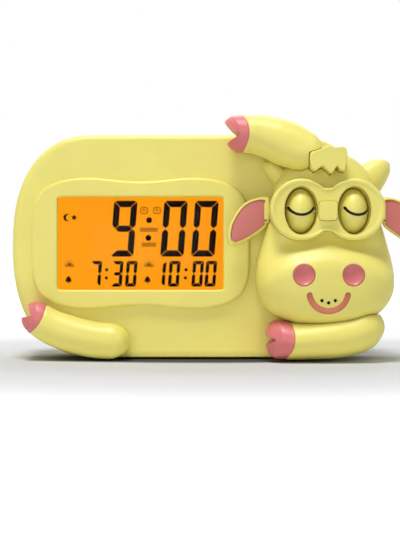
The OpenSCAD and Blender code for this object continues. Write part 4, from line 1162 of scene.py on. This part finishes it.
def build_eyes():
    """The eyeballs: closed lids in front, open eyes on the side that rolls to the front, each pupil
    with two white dots that are painted highlights.
    """
    e = Sizes("clock_eyes")
    ink = flat_paint("lid and pupil ink", finish("segment"), 0.4)
    a = np.radians(np.linspace(-90, 90, 49))
    profile = np.stack([np.maximum(0.01, e.radius * np.cos(a)), e.half_w * np.sin(a)], -1)
    for side, name in SIDES:
        middle = (side * e.gap / 2, -(e.front + e.proud - e.radius), e.height)
        ball = piece(f"eyeball_{name}", moved(turned(profile, middle, "x", 96)))
        dress(ball, shell_plastic(), "eyes", [f"eye_{name}"])
        dress(piece(f"lid_line_{name}", moved(lid_line(side))), ink, "eyes")
        pupil = piece(f"pupil_{name}", moved(eye_patch(side, 0, 0.6, 3.9, 5.2, 0.06)))
        dress(pupil, ink, "eyes")
        # Two white dots on each pupil: painted highlights, glints of light drawn in off-white plastic.
        lights = [eye_patch(side, 1.2, -1.6, 1.1, 1.4, 0.1), eye_patch(side, -1.3, 2.4, 0.6, 0.8, 0.1)]
        light = piece(f"eye_painted_glint_{name}", *[moved(p) for p in lights])
        dress(light, button_plastic(), "eyes")


# ---------------------------------------------------------------- ears, horns, tuft and limbs

# Rows of an ear, its lining and a horn, from the foot to the tip: x from the head's middle, z,
# half-width, y, half-depth
EAR_ROWS = [[23.4, 69.6, 5.8, -9.3, 2.4], [28.5, 69.8, 6.3, -9.3, 2.5], [32.9, 67, 7.4, -9.3, 2.5],
            [37.8, 61.9, 6.3, -9.3, 2.4], [41.5, 57, 4.2, -9.3, 2.1], [43.3, 53.4, 1.3, -9.3, 1.2]]
HORN_ROWS = [[16.8, 79.6, 8.2, -4.5, 6], [21.0, 84.4, 7.6, -4.5, 5.8], [25.0, 88.1, 6.2, -4.4, 5.0],
             [28.4, 90.7, 4.0, -4.2, 3.8], [30.4, 92.1, 0.8, -4, 0.8]]
SLIM_HORN, SLIM_HORN_IN = 0.74, 2.4       # the left horn's width, and how much nearer it stands
EAR_FLOOR = -9.9
LINING_ROWS = [[27.1, 69.5, 4.7, EAR_FLOOR, 0.55], [30.0, 69.1, 5.6, EAR_FLOOR, 0.6],
               [33.3, 66.7, 6.3, EAR_FLOOR, 0.6], [37.8, 61.9, 5.2, EAR_FLOOR, 0.6],
               [40.8, 58.0, 3.2, EAR_FLOOR, 0.5], [42.3, 55.5, 1.0, EAR_FLOOR, 0.4]]


def whole(rows, count=64):
    """Places from the first row to the last, at equal steps."""
    return np.linspace(0, len(rows) - 1, count)


def sweep(rows, u, steps=96, bow=0.0, size=None):
    """Rings at the places u along rows of x, z, half-width, y and half-depth: each ring lies
    square to the line through the rows. With bow, its front is carried along the line, by bow at
    the ring's crest. size(u) scales the half-width and half-depth."""
    row = spline(rows, u)
    if size is not None:
        row[:, [2, 4]] *= size(u)[:, None]
    row[:, [2, 4]] = np.maximum(row[:, [2, 4]], 0.02)
    last = len(rows) - 1
    run = (spline(rows, np.minimum(u + 0.05, last)) - spline(rows, np.maximum(u - 0.05, 0)))[:, :2]
    run /= np.linalg.norm(run, axis=1, keepdims=True)
    a = angles(steps, 0.5)
    wide = row[:, 2:3] * np.cos(a)
    ahead = (bow * ease(u) * ease(last - u))[:, None] * np.sin(a) ** 2
    x = row[:, :1] - run[:, 1:] * wide + run[:, :1] * ahead
    z = row[:, 1:2] + run[:, :1] * wide + run[:, 1:] * ahead
    return np.stack([x, row[:, 3:4] - row[:, 4:5] * np.sin(a), z], -1)


def lining_outline(grow, steps=48):
    """The ear lining's outline, grown all round, with a round end at its tip."""
    u = whole(LINING_ROWS, steps)
    rings = sweep(np.add(LINING_ROWS, [0, 0, grow, 0, 0]), u, 4)
    row = spline(LINING_ROWS, u)
    middle = row[:, :2]
    half = (rings[:, 0] - rings[:, 1])[:, [0, 2]]
    half = half / np.linalg.norm(half, axis=1, keepdims=True) * (row[:, 2:3] + grow)
    run = (middle[-1] - middle[-2]) / np.linalg.norm(middle[-1] - middle[-2])
    a = np.radians(np.linspace(0, 180, 15))[1:-1, None]
    cap = middle[-1] + np.cos(a) * half[-1] + np.sin(a) * run * (grow + 0.01)
    return np.concatenate([middle + half, cap, (middle - half)[::-1]])


def build_ears():
    """Both ears, each a thick leaf with a recessed pink lining inside a soft rim."""
    pink = moulded("ear lining", finish("ear"))
    inside_head = prism(rounded(13, 70, 26, 60, 0.5), -30, 5)
    pocket = prism(lining_outline(0.15), -30, EAR_FLOOR)
    tab = prism(rounded(24.5, 69.5, 7, 8, 0.6), -10.6, -8)
    for side, name in SIDES:
        ear = piece(f"ear_shell_{name}", sided(side, solid(sweep(EAR_ROWS, whole(EAR_ROWS)))))
        cut(ear, sided(side, inside_head), sided(side, pocket), sharp=35)
        cut(ear, sided(side, tab), sharp=35, join=True)
        dress(ear, shell_plastic(), replaces=[f"ear_{name}"])
        rings = sweep(LINING_ROWS, whole(LINING_ROWS))
        rings[..., 1] = np.minimum(rings[..., 1], EAR_FLOOR)
        lining = piece(f"ear_inner_{name}", sided(side, solid(rings)))
        dress(lining, pink, replaces=[f"ear_lining_{name}"])


def horn_solid(side):
    """A horn: rings along its rows, its foot kept out of the skull's middle. The left one, behind
    the arm, is slimmer."""
    h = Sizes("clock_head")
    rows = np.array(HORN_ROWS)
    if side < 0:
        rows = rows * [1, 1, SLIM_HORN, 1, 1] - [SLIM_HORN_IN, 0, 0, 0, 0]
    foot = rows * [1, 1, 0.4, 1, 0.4]
    rings = np.concatenate([sweep(foot, np.zeros(1)), sweep(rows, whole(rows, 48))])
    way = rings[..., [0, 2]] - [0, h.skull_z]
    far = np.maximum(1, (h.skull_r - 0.7) / np.linalg.norm(way, axis=-1))
    x, z = way[..., 0] * far, h.skull_z + way[..., 1] * far
    return solid(np.stack([x, np.minimum(rings[..., 1], 0), z], -1))


# Inset and depth along the tuft's sides and its rounded front edge
TUFT_EDGE = ((0, -12.4), (0, -25.0), (0.06, -25.25), (0.22, -25.42), (0.45, -25.5), (0.7, -25.5))


def build_horns_and_tuft():
    """Two short blunt horns, and the tuft in front of the brow, which is the light's button."""
    for side, name in SIDES:
        horn = piece(f"horn_shell_{name}", sided(side, horn_solid(side)))
        dress(horn, shell_plastic(), replaces=[f"horn_{name}"])
    block = capped(np.stack([at_depth(tuft_outline(-inset), y) for inset, y in TUFT_EDGE]))
    flange = prism(rounded(0, 87.2, 18, 2, 0.3), -12.5, -11.2)
    stem = prism(circle(0, 88, 2), -12.4, node_box("tuft_button")[1][1])
    tuft = piece("tuft_cap", moved(block), moved(flange), moved(stem), sharp=32)
    dress(tuft, shell_plastic(), "tuft", ["tuft_button"])


# Rows of each limb, from the tip of its hoof: x from the body's middle, z, half-width, y, half-depth
ARM = [[14.7, 104.1, 7.8, -9.7, 9.0], [18.2, 104.8, 8.3, -9.7, 9.4], [21.6, 105.0, 8.6, -9.8, 9.7],
       [28.9, 104.8, 9.05, -10, 10], [36.8, 102.9, 10, -11, 10.5], [42.8, 100.4, 10.5, -12.4, 10],
       [49.1, 97.5, 9.9, -13.8, 9.4], [54, 95.8, 8.8, -14.4, 9], [59.4, 93.6, 7.2, -14.4, 8.2]]
FORE = [[33.6, 10.6, 8.6, -12.6, 12.4], [37.4, 10.6, 8.9, -12.7, 12.8], [41.0, 10.4, 9, -12.8, 13],
        [45.5, 10.0, 8.9, -12.8, 13.5], [53.3, 10.4, 9.2, -12.8, 13.5], [65.5, 11.6, 9.9, -12.6, 13.3],
        [74.6, 13.6, 9.9, -12.2, 12.8], [81.0, 16.9, 9.6, -11.6, 12], [87.2, 20.4, 8.2, -11, 11]]
HIND = [[-79.0, 22.1, 6.4, -6, 6.6], [-75.5, 21.0, 7.0, -6.1, 7.0], [-72.6, 19.8, 7.6, -6.3, 7.4],
        [-64.6, 15.2, 8.2, -6.5, 7.6], [-55.3, 12.0, 8.4, -6.6, 7.8], [-46.4, 9.9, 8.4, -6.6, 7.8],
        [-40.5, 9.2, 8.3, -6.4, 7.6], [-35.2, 9.2, 8.2, -6.2, 7.5], [-29.4, 9.2, 7.8, -5.8, 7.2]]


def on_body(p):
    """Keeps a limb's points in front of the body's face."""
    return np.stack([p[..., 0], np.minimum(0, p[..., 1]), p[..., 2]], -1)


def over_head(p, top=HEAD_MID + 20, inner=0.95, air=0.5):
    """Keeps the arm's points above top in front of the head's face, read a little further in,
    with some air between them."""
    h = Sizes("clock_head")
    x, z = p[..., 0] - h.right, p[..., 2]
    ahead = head_front(inner * x, HEAD_MID + inner * (np.maximum(z, top) - HEAD_MID)) + air
    reach = np.hypot(x, z - h.skull_z) / h.skull_r
    seat = np.where(z > top, -ahead, 0) * ease((1.13 - reach) / 0.06)
    return np.stack([p[..., 0], np.minimum(seat, p[..., 1]), z], -1)


def under_chin(p, air=0.8):
    """Keeps the fore leg's points below the chin, whose outline shrinks towards the face's front."""
    h = Sizes("clock_head")
    x, y = p[..., 0] - h.right, p[..., 1]
    d = np.clip((-y - HEAD_EDGE) / (h.face + h.muzzle - HEAD_EDGE), 0, 1)
    s = np.maximum(0.05, blunt(d, FACE_CURVE))
    u = np.minimum(1, np.abs(x) / h.muzzle_w / s)
    chin = HEAD_MID - s * (HEAD_MID - (h.muzzle_z - MUZZLE_DOWN * blunt(u, MUZZLE_CURVE)))
    chin = np.where(u < 1, chin, h.muzzle_z) - air
    z = np.where(np.abs(x) < h.muzzle_w - 0.5, np.minimum(p[..., 2], chin), p[..., 2])
    return np.stack([p[..., 0], np.minimum(0, y), z], -1)


TOE, ROUND_END, TOE_CURVE = 1.5, 1.6, 2.2       # in rows of a limb, and the toes' exponent
GROOVE, GROOVE_HALF = 0.035, 0.09               # how much thinner a limb is where its parts meet


def limb(rows, start, end, seat, bow):
    """A limb's part between two of its rows. Its toes are rounded over as (1 - t^2.2)^(1/2.2) and
    its other end as a half ball, and it is drawn in a little where leg and hoof meet."""
    join, last = (start if start else end), len(rows) - 1
    full = last - ROUND_END
    quarter = np.linspace(0, 1, 24) * np.pi / 2
    if start:
        at = np.concatenate([start + (full - start) * np.linspace(0, 1, 60),
                             full + ROUND_END * np.sin(quarter[1:])])
    else:
        at = np.concatenate([TOE - TOE * np.cos(quarter), np.linspace(TOE, end, 30)[1:]])

    def size(u):
        at_toe, at_end = np.clip((TOE - u) / TOE, 0, 1), np.clip((u - full) / ROUND_END, 0, 1)
        cap = blunt(at_toe, TOE_CURVE) * np.sqrt(1 - at_end ** 2)
        return cap * (1 - GROOVE * (1 - ease(np.abs(u - join) / GROOVE_HALF)) ** 2)

    return solid(seat(sweep(rows, at, 112, bow, size)))


def cleft(tip, angle, spread, narrow=0.35):
    """The gap between two toes: half its width at r from its point is 0.35 + spread (r + r^2 / 25)."""
    r = np.linspace(0, 16, 24)[:, None]
    half = narrow + spread * (r + r ** 2 / 25)
    middle = tip + r * heading(angle)
    across = half * heading(angle + 90)
    return np.concatenate([middle + across, (middle - across)[::-1]])


# Each limb: its nodes and name, its rows, the row where its parts meet and how far that line
# bows, what it is kept clear of, and its cleft's point, angle and spread
LIMBS = (("arm", "arm_hoof", "forearm", ARM, 2.26, 2.7, over_head, (21.3, 104.1), 176, 0.62),
         ("fore_leg", "fore_hoof", "foreleg", FORE, 2.6, 2.6, under_chin, (37.6, 10.6), 186, 0.42),
         ("hind_leg", "hind_hoof", "hindleg", HIND, 2.15, 2.0, on_body, (-74.4, 21.0), 150, 0.66))


def build_limbs():
    """Arm, fore leg and hind leg, each with a pink hoof that has two toes."""
    for leg_node, hoof_node, name, rows, join, bow, seat, tip, angle, spread in LIMBS:
        leg = piece(f"{name}_limb", limb(rows, join, len(rows) - 1, seat, bow))
        if rows is ARM:
            cut(leg, moved(prism(tuft_outline(0.45), AHEAD, -9.4)), sharp=35)
        dress(leg, shell_plastic(), replaces=[leg_node])
        hoof = piece(f"{name}_toes", limb(rows, 0, join, on_body if rows is ARM else seat, bow))
        cut(hoof, prism(cleft(tip, angle, spread), AHEAD, 1), sharp=40)
        dress(hoof, pink_plastic(), replaces=[hoof_node])


# ---------------------------------------------------------------- inner parts

BUTTONS = [f"button_{i}" for i in range(1, 7)]
SOFT_EDGES = {"battery_door": 0.35, "switch_knob": 0.3, "feet": 0.25, "eye_motor": 0.4,
              "battery_box": 0.2, **dict.fromkeys(BUTTONS, 0.4)}


def inner_finishes():
    """Which nodes get which finish, as pairs of a material and its nodes' names."""
    rubber = moulded("dark rubber", (0.022, 0.022, 0.024, 1), (0.62, 0.78), 0.12, 0.00002)
    zinc = bare_metal("zinc plated steel", (0.56, 0.57, 0.58, 1), (0.24, 0.36))
    nickel = bare_metal("nickel contacts", (0.66, 0.62, 0.55, 1), (0.20, 0.32))
    gear = moulded("white gear plastic", (0.78, 0.77, 0.72, 1), (0.34, 0.46))
    black = moulded("black moulded cases", (0.018, 0.018, 0.020, 1), (0.42, 0.58), 0.1)
    return ((shell_plastic(), ["battery_door", "head_back"]),
            (circuit_board("green circuit board"), ["main_board", "tuft_board", "button_board"]),
            (moulded("grey plastic", (0.30, 0.30, 0.29, 1)), ["battery_box", "eye_frame"]),
            (button_plastic(), ["switch_knob", *BUTTONS]),
            (rubber, ["feet", "lcd_contacts"]),
            (battery_wrap("cell sleeve"), ["batteries"]),
            (zinc, ["case_screws", "main_board_screws", "head_screws", "button_board_screws",
                    "eye_axle", "eye_motor"]),
            (nickel, ["battery_contacts"]),
            (gear, ["axle_gear", "idler_gear", "motor_pinion"]),
            (black, ["clock_chip", "button_switches", "tuft_switch", "slide_switch", "speaker"]),
            (glowing("light guide", finish("lcd"), 0.5), ["backlight_guide"]),
            (glowing("amber lamp", finish("lcd"), 2.0), ["backlight_leds"]))


def build_fittings():
    """Gives each inner part its finish, and rounds the edges of those that a hand touches."""
    for material, names in inner_finishes():
        for name in names:
            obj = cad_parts[name]
            if not obj.material_slots:
                obj.data.materials.append(material)
            for entry in obj.material_slots:
                entry.material = material
    for name, width in SOFT_EDGES.items():
        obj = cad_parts[name]
        weld = obj.modifiers.new("weld", "WELD")
        weld.merge_threshold = 0.00001
        bevel = obj.modifiers.new("edges", "BEVEL")
        bevel.width, bevel.segments = width * MM, 3
        bevel.limit_method, bevel.angle_limit = "ANGLE", math.radians(50)
        bevel.use_clamp_overlap = True


# ---------------------------------------------------------------- stage

CAMERA_AT = (-0.00705, -0.56975, 0.0438)
LENS, SENSOR = 80.44, 36.0
LAMPS_AIM = (0.0, -0.01, 0.06)
FLOOR_REACH = 4.0
# The floor and the room have one level for the light they throw and one for what is seen of them
FLOOR_LIGHT, FLOOR_SEEN, FLOOR_HUE = 0.85, 0.60, (0.96, 0.975, 1.0)
ROOM_LIGHT, ROOM_SEEN = 0.27, 1.0
SHADOW_MIDDLE, SHADOW_HALF, SHADOW_DEPTH = (-0.005, 0.001, 0), (0.080, 0.030, 1), 0.9
SHADOW_EDGE = (0.8, 1.2)               # where the contact shadow starts to fade, and ends
GLOW_HALF = (1 / 0.7, 1, 1)
GLOW_LEVELS = ((0.06, 0.0), (0.12, 0.10), (0.20, 0.32), (0.45, 0.6), (1.0, 1.0))


def combined(tree, operation, first, second):
    """The result of one operation on two values, each a number or another node's output."""
    return wire(tree, "Math", {0: first, 1: second}, 0, operation=operation)


def seen_directly(tree):
    """1 for what the camera sees, straight or in gloss or through something clear, else 0."""
    rays = tree.nodes.new("ShaderNodeLightPath").outputs
    seen = combined(tree, "MAXIMUM", rays["Is Camera Ray"], rays["Is Glossy Ray"])
    return combined(tree, "MAXIMUM", seen, rays["Is Transmission Ray"])


def oval_reach(tree, middle, half):
    """How far a place lies from an oval's middle: 0 there, and 1 on the oval itself."""
    inputs = {"Vector": own_place(tree), "Location": middle, "Scale": half}
    where = wire(tree, "Mapping", inputs, "Vector", vector_type="TEXTURE")
    return wire(tree, "VectorMath", {0: where}, "Value", operation="LENGTH")


def floor_colour(tree):
    """The floor's colour: its tone, times what the contact shadow leaves of it, times its hue."""
    tone = spread(tree, seen_directly(tree), FLOOR_LIGHT, FLOOR_SEEN, 0, 1)
    reach = oval_reach(tree, SHADOW_MIDDLE, SHADOW_HALF)
    shadow = spread(tree, reach, SHADOW_DEPTH, 0, *SHADOW_EDGE, "SMOOTHSTEP")
    left = combined(tree, "SUBTRACT", 1.0, combined(tree, "MULTIPLY", shadow, seen_directly(tree)))
    inputs = {0: combined(tree, "MULTIPLY", left, tone), 1: FLOOR_HUE}
    return wire(tree, "VectorMath", inputs, "Vector", operation="MULTIPLY")


def floor_glow(tree):
    """A light of the floor's own that only the camera sees: none near the clock, more far away,
    so that the floor runs into the white surround."""
    stops = [(position, (level, level, level, 1)) for position, level in GLOW_LEVELS]
    level = ramp(tree, oval_reach(tree, (0, 0, 0), GLOW_HALF), stops, "EASE")
    return combined(tree, "MULTIPLY", seen_directly(tree), level)


@once
def matte_floor(tree):
    """A pale matte floor that the camera sees as white where nothing shades it."""
    return {"Base Color": floor_colour(tree),
            "Emission Strength": floor_glow(tree),
            "Emission Color": (1, 1, 1, 1),
            "Roughness": 0.9,
            "Specular IOR Level": 0.1}


def lamp_at(name, at, size, power):
    """A square soft light that faces the clock's middle."""
    data = bpy.data.lights.new(name, "AREA")
    data.shape, data.size, data.energy = "SQUARE", size, power
    lamp = add(name, data)
    lamp.location = at
    lamp.rotation_euler = (Vector(LAMPS_AIM) - lamp.location).to_track_quat("-Z", "Y").to_euler()


def lay_floor():
    """The floor, a flat square round the clock."""
    mesh = bpy.data.meshes.new("floor")
    corners = [(x * FLOOR_REACH, y * FLOOR_REACH, 0) for x, y in ((-1, -1), (1, -1), (1, 1), (-1, 1))]
    mesh.from_pydata(corners, [], [(0, 1, 2, 3)])
    mesh.materials.append(matte_floor("pale floor"))
    add("floor", mesh)


def light_room():
    """A surround that lights the clock softly and that the camera sees as white."""
    world = bpy.data.worlds.new("studio")
    bpy.context.scene.world = world
    world.use_nodes = True
    tree = world.node_tree
    level = spread(tree, seen_directly(tree), ROOM_LIGHT, ROOM_SEEN, 0, 1)
    give(tree, tree.nodes["Background"], {"Color": (1, 1, 1, 1), "Strength": level})


def set_camera():
    """The camera, level and straight in front."""
    data = bpy.data.cameras.new("camera")
    data.sensor_fit, data.sensor_height, data.sensor_width = "VERTICAL", SENSOR, SENSOR
    data.lens = LENS
    data.clip_start, data.clip_end = 0.01, 20
    camera = add("camera", data)
    camera.location = CAMERA_AT
    camera.rotation_euler = (math.pi / 2, 0, 0)
    bpy.context.scene.camera = camera
    bpy.context.scene.view_settings.view_transform = "Standard"


def build_stage():
    """A pale floor, a white surround, soft lamps above, in front and behind, and the camera."""
    lay_floor()
    light_room()
    lamp_at("key", (-0.15, -0.35, 1.15), 0.36, 11.5)
    lamp_at("front", (-0.35, -1.15, 0.2), 0.7, 2.8)
    lamp_at("back", (0.1, 0.9, 0.9), 0.8, 4.5)
    set_camera()


# ---------------------------------------------------------------- operators and panel

class BuildShells(Operator):
    """Build the body's front and rear shells"""
    bl_idname = "clock.shells"
    bl_label = "Body shells"

    def execute(self, context):
        build_shells()
        return {"FINISHED"}


class BuildDisplay(Operator):
    """Build the surround, the lit panel with its marks and the window"""
    bl_idname = "clock.display"
    bl_label = "Display"

    def execute(self, context):
        build_display()
        return {"FINISHED"}


class BuildHead(Operator):
    """Build the head's shell, the goggles, the nostrils and the smile"""
    bl_idname = "clock.head"
    bl_label = "Head"

    def execute(self, context):
        build_head()
        return {"FINISHED"}


class BuildEyes(Operator):
    """Build the eyeballs with their closed lids and, behind, their open eyes"""
    bl_idname = "clock.eyes"
    bl_label = "Eyes"

    def execute(self, context):
        build_eyes()
        return {"FINISHED"}


class BuildEars(Operator):
    """Build both ears and their linings"""
    bl_idname = "clock.ears"
    bl_label = "Ears"

    def execute(self, context):
        build_ears()
        return {"FINISHED"}


class BuildHornsAndTuft(Operator):
    """Build both horns and the tuft, which is the light's button"""
    bl_idname = "clock.horns_and_tuft"
    bl_label = "Horns and tuft"

    def execute(self, context):
        build_horns_and_tuft()
        return {"FINISHED"}


class BuildLimbs(Operator):
    """Build the three legs and their hooves"""
    bl_idname = "clock.limbs"
    bl_label = "Legs and hooves"

    def execute(self, context):
        build_limbs()
        return {"FINISHED"}


class FinishFittings(Operator):
    """Give the inner parts, buttons and screws their finishes"""
    bl_idname = "clock.fittings"
    bl_label = "Inner parts and buttons"

    def execute(self, context):
        build_fittings()
        return {"FINISHED"}


class BuildStage(Operator):
    """Lay the floor and set the lamps and the camera"""
    bl_idname = "clock.stage"
    bl_label = "Stage"

    def execute(self, context):
        build_stage()
        return {"FINISHED"}


OPERATORS = (BuildShells, BuildDisplay, BuildHead, BuildEyes, BuildEars, BuildHornsAndTuft, BuildLimbs,
             FinishFittings, BuildStage)


class ClockPanel(Panel):
    """Lists the clock's sizes, its colours and the steps that build it"""
    bl_idname = "VIEW3D_PT_alarm_clock"
    bl_label = "Alarm Clock"
    bl_space_type = "VIEW_3D"
    bl_region_type = "UI"
    bl_category = "Alarm Clock"

    def draw(self, context):
        for group in GROUPS:
            box = self.layout.box()
            values = getattr(context.scene, group)
            for key in type(values).__annotations__:
                box.prop(values, key)
        for step in OPERATORS:
            self.layout.operator(step.bl_idname)


def register():
    """Makes the sizes, colours, operators and panel known to Blender."""
    for cls in (*GROUPS.values(), *OPERATORS, ClockPanel):
        bpy.utils.register_class(cls)
    for group, cls in GROUPS.items():
        setattr(bpy.types.Scene, group, PointerProperty(type=cls))


def unregister():
    """Takes back what register() made known."""
    for group in GROUPS:
        delattr(bpy.types.Scene, group)
    for cls in reversed((*GROUPS.values(), *OPERATORS, ClockPanel)):
        bpy.utils.unregister_class(cls)


def main():
    """Builds the whole clock."""
    register()
    for step in OPERATORS:
        group, name = step.bl_idname.split(".")
        getattr(getattr(bpy.ops, group), name)()


if __name__ == "__main__":
    main()
